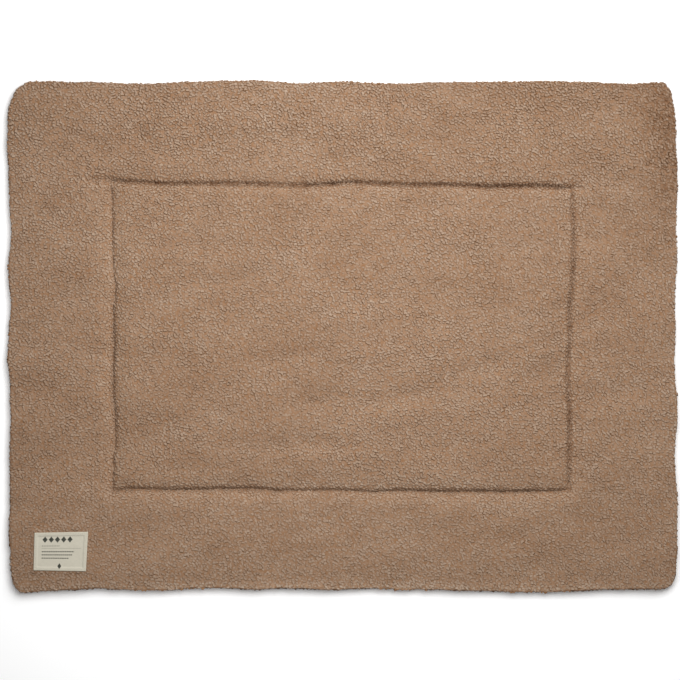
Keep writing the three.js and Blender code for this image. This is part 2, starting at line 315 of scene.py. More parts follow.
# Grid lines of the fine body, as distances in from the rim and off the quilting line
RIM_STEPS = (0, 0.5, 1.3, 2.5, 4.2, 6.5, 9.5, 13.5, 18.5)
CHANNEL_STEPS = (0, 0.9, 1.9, 3.2, 5.2, 8, 11.5, 15.5, 20.5, 27)
BODY_CELL = 7

# Places of the camera and the lights, in metres. The picture frames a square this wide at the
# height of the rim: 680 pixels of 1.42 mm
PHOTO_SIDE = 680 * 1.42 * MM
PHOTO_PLANE = 8 * MM
CAMERA_LENS = 150
CAMERA_SENSOR = 36
CAMERA_AIM = (-0.0034, -0.0048)
KEY_PLACE = (0.8, 1.15, 1.5)
KEY_SIZE = 1.7
OVERHEAD_PLACE = (-0.05, 0.17, 0.8)
OVERHEAD_SIZE = 0.9
FLOOR_HALF = 20

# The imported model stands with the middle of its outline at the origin, so the tables are shifted
LABEL_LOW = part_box("label")[0]
SHIFT = (
    LABEL_LOW.x / MM - min(corner[0] for corner in LABEL_CORNERS),
    LABEL_LOW.y / MM - min(corner[1] for corner in LABEL_CORNERS),
)

PANEL_LEFT, PANEL_RIGHT, BORDER_TOP_PATCH, BORDER_BOTTOM_PATCH, BORDER_SIDES = range(5)
PATCH_NAMES = (
    "pile_panel_left",
    "pile_panel_right",
    "pile_border_top",
    "pile_border_bottom",
    "pile_border_sides",
)
NO_PILE = -1


# Shape of the cloth


def smooth(share):
    """Eases a share from 0 to 1, flat at both ends."""
    share = np.clip(share, 0, 1)
    return share * share * (3 - 2 * share)


def along(table, at):
    """Smooth value of a table at each place, flat past its ends."""
    places, values = np.array(table, dtype=float).T
    row = np.clip(np.searchsorted(places, at, side="right") - 1, 0, len(places) - 2)
    share = smooth((at - places[row]) / (places[row + 1] - places[row]))
    return values[row] + (values[row + 1] - values[row]) * share


def fade(distance, reach):
    """1 where the distance is 0, easing to 0 at the reach."""
    return 1 - smooth(np.abs(distance) / reach)


def round_over(distance, reach):
    """A quarter of an ellipse: 0 on the sewn line, steep there, and 1 from the reach onwards."""
    left = 1 - np.clip(distance / reach, 0, 1)
    return np.sqrt(1 - left * left)


def lumps(x, y, size_x, size_y, seed):
    """Soft uneven lumps between -1 and 1, the same on each run."""
    side = LUMP_TABLE_SIDE
    table = np.random.default_rng(seed).uniform(-1, 1, (side, side))
    u, v = x / size_x + side, y / size_y + side
    i, j = np.floor(u).astype(int), np.floor(v).astype(int)
    a, b = smooth(u - i), smooth(v - j)
    near = table[i % side, j % side] * (1 - a) + table[(i + 1) % side, j % side] * a
    far = table[i % side, (j + 1) % side] * (1 - a) + table[(i + 1) % side, (j + 1) % side] * a
    return near * (1 - b) + far * b


def rim_distance(x, y):
    """How far inside the rim each point lies."""
    return np.minimum(HALF_LENGTH - np.abs(x), HALF_WIDTH - np.abs(y))


def channel_gaps(x, y):
    """How far outside the quilted rectangle each point lies, along X and along Y."""
    out_x = np.maximum(CHANNEL["left"] - x, x - CHANNEL["right"])
    out_y = np.maximum(CHANNEL["bottom"] - y, y - CHANNEL["top"])
    return out_x, out_y


def channel_distance(x, y):
    """How far off the quilting line each point lies, on either side of it."""
    out_x, out_y = channel_gaps(x, y)
    outside = np.hypot(np.maximum(out_x, 0), np.maximum(out_y, 0))
    return np.where((out_x < 0) & (out_y < 0), -np.maximum(out_x, out_y), outside)


def channel_rise(x, y, reach):
    """0 on the quilting line and 1 from the reach onwards, rounded over in between."""
    out_x, out_y = channel_gaps(x, y)
    outside = np.hypot(np.maximum(out_x, 0), np.maximum(out_y, 0))
    inside = round_over(-out_x, reach) * round_over(-out_y, reach)
    return np.where((out_x < 0) & (out_y < 0), inside, round_over(outside, reach))


def filling(x, y):
    """Unevenness of the wadding: broad waves and smaller lumps."""
    height = 0
    for length, rise, heading, shift in FILLING_WAVES:
        turn = math.radians(heading)
        travel = x * math.cos(turn) + y * math.sin(turn)
        height = height + rise * np.sin(2 * math.pi * travel / length + shift)
    for seed, (size_x, size_y, rise) in enumerate(FILLING_LUMPS, FILLING_SEED):
        height = height + rise * lumps(x, y - LUMP_SLANT * x, size_x, size_y, seed)
    return height


def wrinkles(x, y):
    """Depth of the soft wrinkles, and of what the quilting draws in past its corners."""
    depth = 0
    for middle_x, middle_y, half_length, half_width, deep, heading in WRINKLES:
        turn = math.radians(heading)
        run = (x - middle_x) * math.cos(turn) + (y - middle_y) * math.sin(turn)
        off = (y - middle_y) * math.cos(turn) - (x - middle_x) * math.sin(turn)
        depth = depth + deep * np.exp(-np.square(run / half_length) - np.square(off / half_width))
    for middle_x, half_length in DRAWN_CORNERS:
        run, off = (x - middle_x) / half_length, (y - CHANNEL["top"]) / DRAWN_WIDTH
        depth = depth + DRAWN_DEPTH * np.exp(-np.square(np.square(run)) - np.square(off))
    return depth


def pleats(x, y):
    """Short pleats across the quilting line, deepest a little way off it."""
    out_x, out_y = channel_gaps(x, y)
    distance = channel_distance(x, y)
    fading = np.exp(-distance / PLEAT_REACH) * (1 - np.exp(-distance / PLEAT_START))
    beside_upright = np.abs(out_x) < np.abs(out_y)
    place = np.where(beside_upright, y, x)
    side = np.where(beside_upright, np.sign(x), 3 * np.sign(y)) * SIDE_SHIFT
    height = 0
    for seed, (size, rise) in enumerate(PLEATS, PLEAT_SEED):
        long = PLEAT_SLENDERNESS * size
        height = height + rise * lumps(place + side, distance, size, long, seed)
    return height * fading


def channel_sides(x, y):
    """Which side of the quilted rectangle each point is nearest to, as masks."""
    out_x, out_y = channel_gaps(x, y)
    upright = np.abs(out_x) < np.abs(out_y)
    return {
        "left": upright & (x < 0),
        "right": upright & (x >= 0),
        "bottom": ~upright & (y < 0),
        "top": ~upright & (y >= 0),
    }


def seam_painted_shade(x, y):
    """Painted shade in uneven marks along the thread's crease."""
    near = np.exp(-np.square(channel_distance(x, y) / SEAM_SHADE_REACH))
    depth = sum(SEAM_PAINTED_SHADE[side] * here for side, here in channel_sides(x, y).items())
    marks = lumps(x, y, SEAM_SHADE_MARK, SEAM_SHADE_MARK, SEAM_SHADE_SEED)
    return depth * near * (1 + SEAM_SHADE_UNEVENNESS * marks)


def painted_light_and_shade(x, y):
    """Painted light and shade of the pile: along the thread, in broad patches and on wrinkle
    walls.
    """
    shade = seam_painted_shade(x, y)
    for middle_x, middle_y, half_length, half_width, change in PAINTED_LIGHT_PATCHES:
        away = np.square((x - middle_x) / half_length) + np.square((y - middle_y) / half_width)
        shade = shade + change * np.exp(-away)
    # Painted shade on each wrinkle's upper wall, painted light on its lower wall
    shade = shade + WALL_PAINTED_SHADE * wrinkles(x, y - WRINKLE_WALL)
    return shade + WALL_PAINTED_LIGHT * wrinkles(x, y + WRINKLE_WALL)


def crease(x, y):
    """Depth of the narrow crease that the quilting thread pulls in."""
    distance = channel_distance(x, y)
    total = 0
    for side, here in channel_sides(x, y).items():
        depth, reach, _ = CREASE[side]
        pull = along(CREASE_PULL[side], y if side in ("left", "right") else x)
        total = total + here * depth * pull * np.exp(-np.square(distance / reach))
    return total * (1 + CREASE_UNEVENNESS * lumps(x, y, CREASE_MARK, CREASE_MARK, CREASE_SEED))


def drawn_share(x, y):
    """Share of the channel's depth: less along the slack upper end of the left row."""
    slack = SLACK_SHARE * smooth((y - SLACK_FROM) / SLACK_RUN)
    return 1 - slack * fade(x - CHANNEL["left"], SLACK_REACH)


def seat_share(x, y):
    """1 on the label's seat and 0 past the slope around it."""
    xs, ys = zip(*LABEL_CORNERS)
    out = np.maximum(
        np.maximum(min(xs) - x, x - max(xs)),
        np.maximum(min(ys) - y, y - max(ys)),
    )
    return 1 - smooth((out - SEAT_MARGIN) / SEAT_SLOPE)


def cloth_top(x, y):
    """Height of the top of the pile: crowned between seams, drawn down to the rim and channel."""
    out_x, out_y = channel_gaps(x, y)
    rim = round_over(rim_distance(x, y), RIM_REACH)
    channel = channel_rise(x, y, CHANNEL_REACH)
    across_x = np.clip(-out_x / (CHANNEL["right"] - CHANNEL["left"]), 0, 0.5) * 2
    across_y = np.clip(-out_y / (CHANNEL["top"] - CHANNEL["bottom"]), 0, 0.5) * 2
    panel = PANEL_TOP + PANEL_SWELL * round_over(across_x, 1) * round_over(across_y, 1)
    swell = 1 - np.square(1 - np.clip(rim_distance(x, y) / EDGE_SWELL_REACH, 0, 1))
    border = EDGE_TOP + (BORDER_TOP + BORDER_SWELL * channel - EDGE_TOP) * swell
    crown = np.where((out_x < 0) & (out_y < 0), panel, border)
    crown = crown + filling(x, y) * rim * channel - wrinkles(x, y) * rim
    low = crown - (crown - CHANNEL_TOP) * drawn_share(x, y)
    height = crown - (crown - RIM_TOP) * (1 - rim) - (crown - low) * (1 - channel)
    height = height + pleats(x, y) - crease(x, y)
    seat = seat_share(x, y)
    return height * (1 - seat) + SEAT_HEIGHT * seat


def cloth_bottom(x, y):
    """Height of the underside: on the floor, but for the rim's edge and the shallow channel."""
    rim = RIM_BOTTOM * (1 - round_over(rim_distance(x, y), UNDER_RIM_REACH))
    return rim + CHANNEL_LIFT * (1 - channel_rise(x, y, UNDER_CHANNEL_REACH))


def round_corners(x, y):
    """Bends the grid lines round each corner as arcs that share one centre."""
    radius = np.select(
        [(x < 0) & (y >= 0), (x >= 0) & (y >= 0), (x >= 0) & (y < 0)],
        [CORNER_RADIUS["left_top"], CORNER_RADIUS["right_top"], CORNER_RADIUS["right_bottom"]],
        CORNER_RADIUS["left_bottom"],
    )
    in_x, in_y = HALF_LENGTH - np.abs(x), HALF_WIDTH - np.abs(y)
    ring = np.minimum(in_x, in_y)
    bent = np.maximum(in_x, in_y) < radius
    arm = np.where(bent, radius - ring, 1)
    from_side = (radius - np.maximum(in_x, in_y)) / arm * math.pi / 4
    angle = np.where(in_x < in_y, from_side, math.pi / 2 - from_side)
    bent_x = np.sign(x) * (HALF_LENGTH - radius + arm * np.cos(angle))
    bent_y = np.sign(y) * (HALF_WIDTH - radius + arm * np.sin(angle))
    return np.where(bent, bent_x, x), np.where(bent, bent_y, y)


def place_cloth(x, y):
    """Where the grid's points lie once the corners are rounded and the edges and seams wander."""
    bent_x, bent_y = round_corners(x, y)
    right = (
        along(RIM_WAVES["right"], y) * fade(HALF_LENGTH - x, RIM_WAVE_REACH)
        - along(RIM_WAVES["left"], y) * fade(HALF_LENGTH + x, RIM_WAVE_REACH)
        + along(CHANNEL_WANDER["left"], y) * fade(x - CHANNEL["left"], WANDER_REACH)
        + along(CHANNEL_WANDER["right"], y) * fade(x - CHANNEL["right"], WANDER_REACH)
    )
    up = (
        along(RIM_WAVES["top"], x) * fade(HALF_WIDTH - y, RIM_WAVE_REACH)
        - along(RIM_WAVES["bottom"], x) * fade(HALF_WIDTH + y, RIM_WAVE_REACH)
        + along(CHANNEL_WANDER["bottom"], x) * fade(y - CHANNEL["bottom"], WANDER_REACH)
        + along(CHANNEL_WANDER["top"], x) * fade(y - CHANNEL["top"], WANDER_REACH)
    )
    ruffle = RUFFLE_RISE * lumps(x, y, RUFFLE_SIZE, RUFFLE_SIZE, RUFFLE_SEED)
    right = right + ruffle * fade(HALF_LENGTH - np.abs(x), RIM_WAVE_REACH / 2)
    up = up + ruffle * fade(HALF_WIDTH - np.abs(y), RIM_WAVE_REACH / 2)
    return bent_x + right + SHIFT[0], bent_y + up + SHIFT[1]


def grid_lines(half, low, high, seat_low, seat_high):
    """Sorted lines across the mat, close together at the rim, the channel and the seat."""
    lines = set()
    for step in RIM_STEPS:
        lines.update((-half + step, half - step))
    for step in CHANNEL_STEPS:
        lines.update((low - step, low + step, high - step, high + step))
    for margin in (SEAT_MARGIN, SEAT_MARGIN + SEAT_SLOPE / 2, SEAT_MARGIN + SEAT_SLOPE):
        lines.update((seat_low - margin, seat_high + margin))
    lines = sorted(lines)
    filled = [lines[0]]
    for line in lines[1:]:
        start = filled[-1]
        cells = math.ceil((line - start) / BODY_CELL)
        filled.extend(start + (line - start) * cell / cells for cell in range(1, cells + 1))
    return np.array(filled)


def patch_of(x, y, is_pile):
    """The pile patch that each face belongs to, by the middle of the face."""
    out_x, out_y = channel_gaps(x, y)
    inside = (out_x < 0) & (out_y < 0)
    above = ~inside & (y >= CHANNEL["top"])
    below = ~inside & (y < CHANNEL["bottom"])
    return np.select(
        [~is_pile, inside & (x < 0), inside, above, below],
        [NO_PILE, PANEL_LEFT, PANEL_RIGHT, BORDER_TOP_PATCH, BORDER_BOTTOM_PATCH],
        BORDER_SIDES,
    )


# Meshes and objects


def new_object(name, data):
    """Puts a mesh, a light or a camera in the scene."""
    made = bpy.data.objects.new(name, data)
    bpy.context.scene.collection.objects.link(made)
    return made


def mesh_from(name, vertices, faces):
    """A mesh that is shaded smooth."""
    mesh = bpy.data.meshes.new(name)
    mesh.from_pydata(vertices, [], faces)
    mesh.update()
    mesh.polygons.foreach_set("use_smooth", np.ones(len(mesh.polygons), dtype=bool))
    return mesh


def store(mesh, name, kind, domain, values):
    """Keeps a value for each point or face, which the node trees and materials read."""
    mesh.attributes.new(name, kind, domain).data.foreach_set("value", values)


def border_loop(wide, tall):
    """Indices round the edge of a grid, counter-clockwise from above."""
    last = wide * tall - 1
    return (
        list(range(wide - 1))
        + [row * wide + wide - 1 for row in range(tall - 1)]
        + [last - step for step in range(wide - 1)]
        + [row * wide for row in range(tall - 1, 0, -1)]
    )


def grid_quads(wide, tall, start=0, flip=False):
    """Faces of a grid of points. They look up, or down where they are flipped."""
    row, column = np.divmod(np.arange((wide - 1) * (tall - 1)), wide - 1)
    corner = start + row * wide + column
    quads = np.stack([corner, corner + 1, corner + 1 + wide, corner + wide], axis=1)
    return quads[:, ::-1] if flip else quads


def make_body_mesh(pile_height):
    """The padded body inside the pile: a closed mesh whose faces know their pile patch."""
    xs, ys = zip(*LABEL_CORNERS)
    columns = grid_lines(HALF_LENGTH, CHANNEL["left"], CHANNEL["right"], min(xs), max(xs))
    rows = grid_lines(HALF_WIDTH, CHANNEL["bottom"], CHANNEL["top"], min(ys), max(ys))
    wide, tall = len(columns), len(rows)
    x, y = (grid.ravel() for grid in np.meshgrid(columns, rows))
    placed_x, placed_y = place_cloth(x, y)
    loop = np.array(border_loop(wide, tall))
    count = wide * tall
    top = np.stack([placed_x, placed_y, cloth_top(x, y)], axis=1)
    bottom = np.stack([placed_x, placed_y, cloth_bottom(x, y)], axis=1)
    middle = (top[loop] + bottom[loop]) / 2
    points = np.concatenate([top, bottom, middle])
    ring = 2 * count + np.arange(len(loop))
    next_loop, next_ring = np.roll(loop, -1), np.roll(ring, -1)
    walls = [
        np.stack([ring, next_ring, next_loop, loop], axis=1),
        np.stack([count + loop, count + next_loop, next_ring, ring], axis=1),
    ]
    quads = np.concatenate([
        grid_quads(wide, tall),
        grid_quads(wide, tall, count, flip=True),
        *walls,
    ])
    mesh = mesh_from("mat_body", points * MM, quads.tolist())

    # The cloth lies inside its pile, but flat on the floor
    normals = np.empty(len(points) * 3)
    mesh.vertex_normals.foreach_get("vector", normals)
    normals = normals.reshape(-1, 3)
    under = fade(np.maximum(rim_distance(x, y), 0), 2 * UNDER_RIM_REACH)
    near_rim = fade(np.maximum(rim_distance(x, y), 0), RIM_REACH)
    above = 1 - SEAT_BARE * seat_share(x, y) + RIM_INSET * near_rim
    notch = np.full(len(loop), 1 + RIM_INSET + RIM_NOTCH / pile_height)
    inset = np.concatenate([above, under, notch])
    points = points - normals * (inset * pile_height)[:, None]
    points[:, 2] = np.maximum(points[:, 2], 0)
    mesh.vertices.foreach_set("co", (points * MM).ravel())

    grid_x, grid_y = np.concatenate([x, x, x[loop]]), np.concatenate([y, y, y[loop]])
    face_x, face_y = grid_x[quads].mean(axis=1), grid_y[quads].mean(axis=1)
    is_pile = np.ones(len(quads), dtype=bool)
    faces = (wide - 1) * (tall - 1)
    is_pile[faces:2 * faces] = rim_distance(face_x, face_y)[faces:2 * faces] < UNDER_RIM_REACH / 2
    off_rim = smooth(np.maximum(rim_distance(grid_x, grid_y), 0) / RIM_REACH)
    upright = np.interp(grid_y, *zip(*STAND_UP_THE_MAT))
    ends = (END_STAND_FROM, HALF_LENGTH)
    upright = upright * np.interp(np.abs(grid_x), ends, (1, END_STAND))
    stand = upright * (RIM_STAND + (1 - RIM_STAND) * off_rim)
    store(mesh, "stand", "FLOAT", "POINT", stand)
    # Painted light and shade for each point, which the curls and the ground take on
    store(mesh, "brushed", "FLOAT", "POINT", painted_light_and_shade(grid_x, grid_y))
    store(mesh, "patch", "INT", "FACE", patch_of(face_x, face_y, is_pile).astype(np.int32))
    mesh.update()
    return mesh


# A curl lies between two ends in the cloth. Shares of its length at which it has a ring or an end,
# sides of a ring and how far they are turned, the arch about which it bends, and how deep its ends
# are sunk
CURL_STATIONS = (0, 0.2, 0.5, 0.8, 1)
CURL_SIDES = 4
CURL_TWIST = 0.25
CURL_MIDDLE = 0.6
CURL_SINK = 0.06
# Curls as shares of their length. Columns: name, bend, hook, thickness, lift
CURL_SHAPES = (
    ("curl_comma", 0.22, 0.00, 0.68, 0.21),
    ("curl_hook", 0.16, 0.14, 0.68, 0.21),
    ("curl_wave", 0.05, 0.19, 0.68, 0.21),
    ("curl_bud", 0.12, 0.05, 0.78, 0.21),
)


def make_curl(name, bend, hook, thickness, lift):
    """One closed curl of fleece, a unit long, lying along X with its ends in the cloth."""
    sides = CURL_SIDES
    points, faces = [], []
    for share in CURL_STATIONS:
        arch = math.sin(math.pi * share)
        sway = bend * (arch - CURL_MIDDLE) + hook * math.sin(2 * math.pi * share)
        centre = Vector((share - 0.5, sway, lift * arch - CURL_SINK))
        if share in (0, 1):
            points.append(centre)
            continue
        radius = thickness / 2
        for side in range(sides):
            turn = 2 * math.pi * (side + CURL_TWIST) / sides + math.pi / 2
            points.append(centre + Vector((0, math.cos(turn), math.sin(turn))) * radius)
    rings = [
        [1 + ring * sides + side for side in range(sides)]
        for ring in range(len(CURL_STATIONS) - 2)
    ]
    end = len(points) - 1
    for side in range(sides):
        other = (side + 1) % sides
        faces.append((0, rings[0][side], rings[0][other]))
        for near, far in zip(rings, rings[1:]):
            faces.append((near[side], far[side], far[other], near[other]))
        faces.append((rings[-1][side], end, rings[-1][other]))
    mesh = mesh_from(name, points, faces)
    heights = [(point.z + CURL_SINK) / (lift + thickness / 2) for point in points]
    store(mesh, "crest", "FLOAT", "POINT", heights)
    return bpy.data.objects.new(name, mesh)


# Node trees


class Bench:
    """Adds nodes to one tree and wires them, so that the tree reads from top to bottom."""

    def __init__(self, tree):
        self.tree = tree

    def feed(self, socket, value):
        """Gives a socket a link where the value is a socket, and otherwise the value itself."""
        if isinstance(value, bpy.types.NodeSocket):
            self.tree.links.new(value, socket)
        else:
            socket.default_value = value

    def add(self, kind, inputs=None, **settings):
        """Adds a node, sets it and feeds its inputs."""
        node = self.tree.nodes.new(kind)
        for name, value in settings.items():
            setattr(node, name, value)
        for key, value in (inputs or {}).items():
            self.feed(node.inputs[key], value)
        return node

    def take(self, output, kind, inputs=None, **settings):
        """Adds a node and gives one of its outputs."""
        return self.add(kind, inputs, **settings).outputs[output]

    def geometry(self, kind, inputs, **settings):
        """Adds a geometry node and gives the geometry that it puts out."""
        return self.take("Geometry", "GeometryNode" + kind, inputs, **settings)

    def store(self, geometry, name, value, data_type):
        """Keeps a value for each point of a geometry, under a name."""
        inputs = {"Geometry": geometry, "Name": name, "Value": value}
        return self.geometry("StoreNamedAttribute", inputs, data_type=data_type, domain="POINT")

    def stored(self, name, data_type="FLOAT"):
        """The value that a geometry keeps under a name."""
        kind = "GeometryNodeInputNamedAttribute"
        return self.take("Attribute", kind, {"Name": name}, data_type=data_type)

    def math(self, operation, *values):
        """One sum on numbers, such as ADD or MULTIPLY."""
        return self.take(0, "ShaderNodeMath", dict(enumerate(values)), operation=operation)

    def sum(self, total, *values):
        """Adds up any count of values."""
        for value in values:
            total = self.math("ADD", total, value)
        return total

    def vector(self, operation, inputs):
        """One sum on vectors."""
        return self.take("Vector", "ShaderNodeVectorMath", inputs, operation=operation)

    def noise(self, **inputs):
        """Smooth noise between 0 and 1."""
        return self.take("Fac", "ShaderNodeTexNoise", inputs)

    def aligned(self, vector, **axes):
        """A turn that points one axis along a vector."""
        kind = "FunctionNodeAlignRotationToVector"
        return self.take("Rotation", kind, {"Vector": vector}, **axes)

    def mix(self, factor, low, high):
        """A colour between two others."""
        inputs = {"Factor": factor, 6: low, 7: high}
        return self.take(2, "ShaderNodeMix", inputs, data_type="RGBA")


def new_tree(name, kind, inputs, outputs):
    """An empty node group with its sockets. inputs: name, kind of socket and default."""
    tree = bpy.data.node_groups.new(name, kind)
    for label, socket, default in inputs:
        socket_type = "NodeSocket" + socket
        made = tree.interface.new_socket(label, in_out="INPUT", socket_type=socket_type)
        if default is not None:
            made.default_value = default
    for label, socket in outputs:
        tree.interface.new_socket(label, in_out="OUTPUT", socket_type="NodeSocket" + socket)
    bench = Bench(tree)
    return tree, bench, bench.add("NodeGroupInput").outputs, bench.add("NodeGroupOutput").inputs


def run_tree(source, tree, name, **values):
    """Runs a Geometry Nodes tree on a source object and keeps the result as a plain mesh."""
    modifier = source.modifiers.new(tree.name, "NODES")
    modifier.node_group = tree
    for item in tree.interface.items_tree:
        key = item.name.lower().replace(" ", "_")
        if item.item_type == "SOCKET" and item.in_out == "INPUT" and key in values:
            modifier[item.identifier] = values[key]
    source.update_tag()
    evaluated = source.evaluated_get(bpy.context.evaluated_depsgraph_get())
    mesh = bpy.data.meshes.new_from_object(evaluated)
    mesh.name = name
    source.modifiers.remove(modifier)
    return mesh


# Things about a curl that are left to chance, each with its own step of the seed
TONE, STRAY, SECOND_STRAY, ROLL, PITCH, SIZE, SHAPE = range(10, 17)
# Curls lean by up to these angles to the side and along themselves, and differ in length
ROLL_SPREAD = 0.7
PITCH_SPREAD = 0.6
LENGTH_SHARES = (0.7, 1.3)
# The lay drifts in broad swirls, by up to half this angle. Every noise is for places in metres
SWIRL = {"Scale": 9.0, "Detail": 1.0}
SWIRL_TURN = 0.9
# Curls stand taller in soft tufts that are longer along X: rise, foot and least height of a tuft
TUFTS = {"Scale": 18.0, "Detail": 1.0}
TUFT_STRETCH = (0.6, 1.2, 1.0)
TUFT_RISE, TUFT_FOOT, TUFT_LEAST = 2.4, -0.2, 0.55
# Fine noise that shakes the points of every curl by up to half of CURL_RUFFLE, in metres
SHAKE = {"Scale": 230.0, "Detail": 0.0}
CURL_RUFFLE = 0.0006
# No point of a curl lies lower than this above the floor, in metres, and X and Y stay as they are
LOWEST_PILE = (-10.0, -10.0, 0.0002)
PILE_SEED = 100


def chance(bench, given, place, low, high, data_type="FLOAT"):
    """A random value for each curl."""
    seed = bench.math("ADD", given["Seed"], place)
    inputs = {"Min": low, "Max": high, "Seed": seed}
    node = bench.add("FunctionNodeRandomValue", inputs, data_type=data_type)
    return next(socket for socket in node.outputs if socket.enabled)


def scatter_points(bench, given):
    """Points over the chosen patch but for its bare places, and the cloth's normal at each."""
    chosen = bench.take(
        "Result",
        "FunctionNodeCompare",
        {"A": bench.stored("patch", "INT"), "B": given["Patch"]},
        data_type="FLOAT",
        operation="EQUAL",
    )
    scatter = bench.add(
        "GeometryNodeDistributePointsOnFaces",
        {
            "Mesh": given["Geometry"],
            "Selection": chosen,
            "Distance Min": given["Least gap"],
            "Density Max": given["Density"],
            "Seed": given["Seed"],
        },
        distribute_method="POISSON",
    )
    normal = scatter.outputs["Normal"]
    points = bench.store(scatter.outputs["Points"], "cloth_normal", normal, "FLOAT_VECTOR")

    # Points under the label or on the stitching have a bare place straight above them
    bare = bench.geometry("ObjectInfo", {"Object": given["Bare places"]})
    ray = {"Target Geometry": bare, "Ray Direction": (0, 0, 1), "Ray Length": 1.0}
    unwanted = {"Geometry": points, "Selection": bench.take("Is Hit", "GeometryNodeRaycast", ray)}
    points = bench.geometry("DeleteGeometry", unwanted, domain="POINT")
    return bench.store(points, "tone", chance(bench, given, TONE, 0.0, 1.0), "FLOAT"), normal


def turn_curls(bench, given, normal, stand):
    """Turn of each curl: the lay drifts in broad swirls, and each curl turns off it by chance."""
    swirl = bench.math("SUBTRACT", bench.noise(**SWIRL), 0.5)
    stray = bench.sum(*(chance(bench, given, place, -1.0, 1.0) for place in (STRAY, SECOND_STRAY)))
    yaw = bench.math(
        "ADD",
        bench.math("MULTIPLY", swirl, SWIRL_TURN),
        bench.math("MULTIPLY", stray, given["Lay spread"]),
    )
    roll = bench.math("MULTIPLY", chance(bench, given, ROLL, -ROLL_SPREAD, ROLL_SPREAD), stand)
    pitch = bench.math("MULTIPLY", chance(bench, given, PITCH, -PITCH_SPREAD, PITCH_SPREAD), stand)
    turn = bench.take("Vector", "ShaderNodeCombineXYZ", {"X": roll, "Y": pitch, "Z": yaw})
    lying = bench.take("Rotation", "FunctionNodeEulerToRotation", {"Euler": turn})
    both = {"Rotation": lying, "Rotate By": bench.aligned(normal, axis="Z")}
    return bench.take("Rotation", "FunctionNodeRotateRotation", both, rotation_space="GLOBAL")


def size_curls(bench, given, stand):
    """Scale of each curl: its length, and how tall it stands in its tuft."""
    length = chance(bench, given, SIZE, *LENGTH_SHARES)
    size = bench.math("MULTIPLY", given["Curl length"], length)
    place = bench.take("Position", "GeometryNodeInputPosition")
    stretched = bench.vector("MULTIPLY", {0: place, 1: TUFT_STRETCH})
    tufty = bench.noise(Vector=stretched, **TUFTS)
    rise = bench.math("MULTIPLY_ADD", tufty, TUFT_RISE, TUFT_FOOT)
    tall = bench.math("MULTIPLY", bench.math("MAXIMUM", rise, TUFT_LEAST), stand)
    scale = {"X": size, "Y": size, "Z": bench.math("MULTIPLY", size, tall)}
    return bench.take("Vector", "ShaderNodeCombineXYZ", scale)


def shake_curls(bench, given, curls):
    """Ruffles each curl a little, and lets none sink into the floor."""
    ruffle = bench.take("Color", "ShaderNodeTexNoise", SHAKE)
    centred = bench.vector("SUBTRACT", {0: ruffle, 1: (0.5, 0.5, 0.5)})
    moved = bench.vector("SCALE", {0: centred, "Scale": given["Ruffle"]})
    shaken = bench.geometry("SetPosition", {"Geometry": curls, "Offset": moved})
    place = bench.take("Position", "GeometryNodeInputPosition")
    lifted = bench.vector("MAXIMUM", {0: place, 1: LOWEST_PILE})
    return bench.geometry("SetPosition", {"Geometry": shaken, "Position": lifted})


def pile_tree():
    """Curls of fleece laid over one patch of a surface, packed close and roughly one way."""
    tree, bench, given, made = new_tree(
        "teddy_pile",
        "GeometryNodeTree",
        (
            ("Geometry", "Geometry", None),
            ("Patch", "Int", 0),
            ("Curls", "Collection", None),
            ("Bare places", "Object", None),
            ("Least gap", "Float", 0.002),
            ("Density", "Float", 90000.0),
            ("Curl length", "Float", 0.007),
            ("Lay spread", "Float", 0.8),
            ("Ruffle", "Float", 0.001),
            ("Seed", "Int", 1),
            ("Material", "Material", None),
        ),
        (("Geometry", "Geometry"),),
    )
    points, normal = scatter_points(bench, given)
    stand = bench.stored("stand")
    shapes = {"Collection": given["Curls"], "Separate Children": True, "Reset Children": True}
    last = len(CURL_SHAPES) - 1
    curls = bench.take(
        "Instances",
        "GeometryNodeInstanceOnPoints",
        {
            "Points": points,
            "Instance": bench.take("Instances", "GeometryNodeCollectionInfo", shapes),
            "Pick Instance": True,
            "Instance Index": chance(bench, given, SHAPE, 0, last, data_type="INT"),
            "Rotation": turn_curls(bench, given, normal, stand),
            "Scale": size_curls(bench, given, stand),
        },
    )
    real = bench.geometry("RealizeInstances", {"Geometry": curls})
    dressed = {"Geometry": shake_curls(bench, given, real), "Material": given["Material"]}
    bench.feed(made["Geometry"], bench.geometry("SetMaterial", dressed))
    return tree


def stitch_tree():
    """A row of stitches along a line, each turned to the line's own direction."""
    tree, bench, given, made = new_tree(
        "stitch_row",
        "GeometryNodeTree",
        (
            ("Line", "Geometry", None),
            ("Pitch", "Float", 0.004),
            ("Stitch", "Object", None),
            ("Material", "Material", None),
        ),
        (("Geometry", "Geometry"),),
    )
    path = bench.take("Curve", "GeometryNodeMeshToCurve", {"Mesh": given["Line"]})
    spacing = {"Curve": path, "Length": given["Pitch"]}
    tangent = bench.take("Tangent", "GeometryNodeInputTangent")
    row = {
        "Points": bench.take("Curve", "GeometryNodeResampleCurve", spacing, mode="LENGTH"),
        "Instance": bench.geometry("ObjectInfo", {"Object": given["Stitch"]}),
        "Rotation": bench.aligned(tangent, axis="X", pivot_axis="Z"),
    }
    row = bench.take("Instances", "GeometryNodeInstanceOnPoints", row)
    real = bench.geometry("RealizeInstances", {"Geometry": row})
    dressed = {"Geometry": real, "Material": given["Material"]}
    bench.feed(made["Geometry"], bench.geometry("SetMaterial", dressed))
    return tree


# A stitch is a strand of thread. Columns: share of its length, share of its thickness there
STITCH_STATIONS = ((-0.5, 0.25), (-0.25, 1), (0.25, 1), (0.5, 0.25))
STITCH_SIDES = 5
# Its thin ends dip into the cloth, by this share of its thickness
STITCH_DIP = 0.9


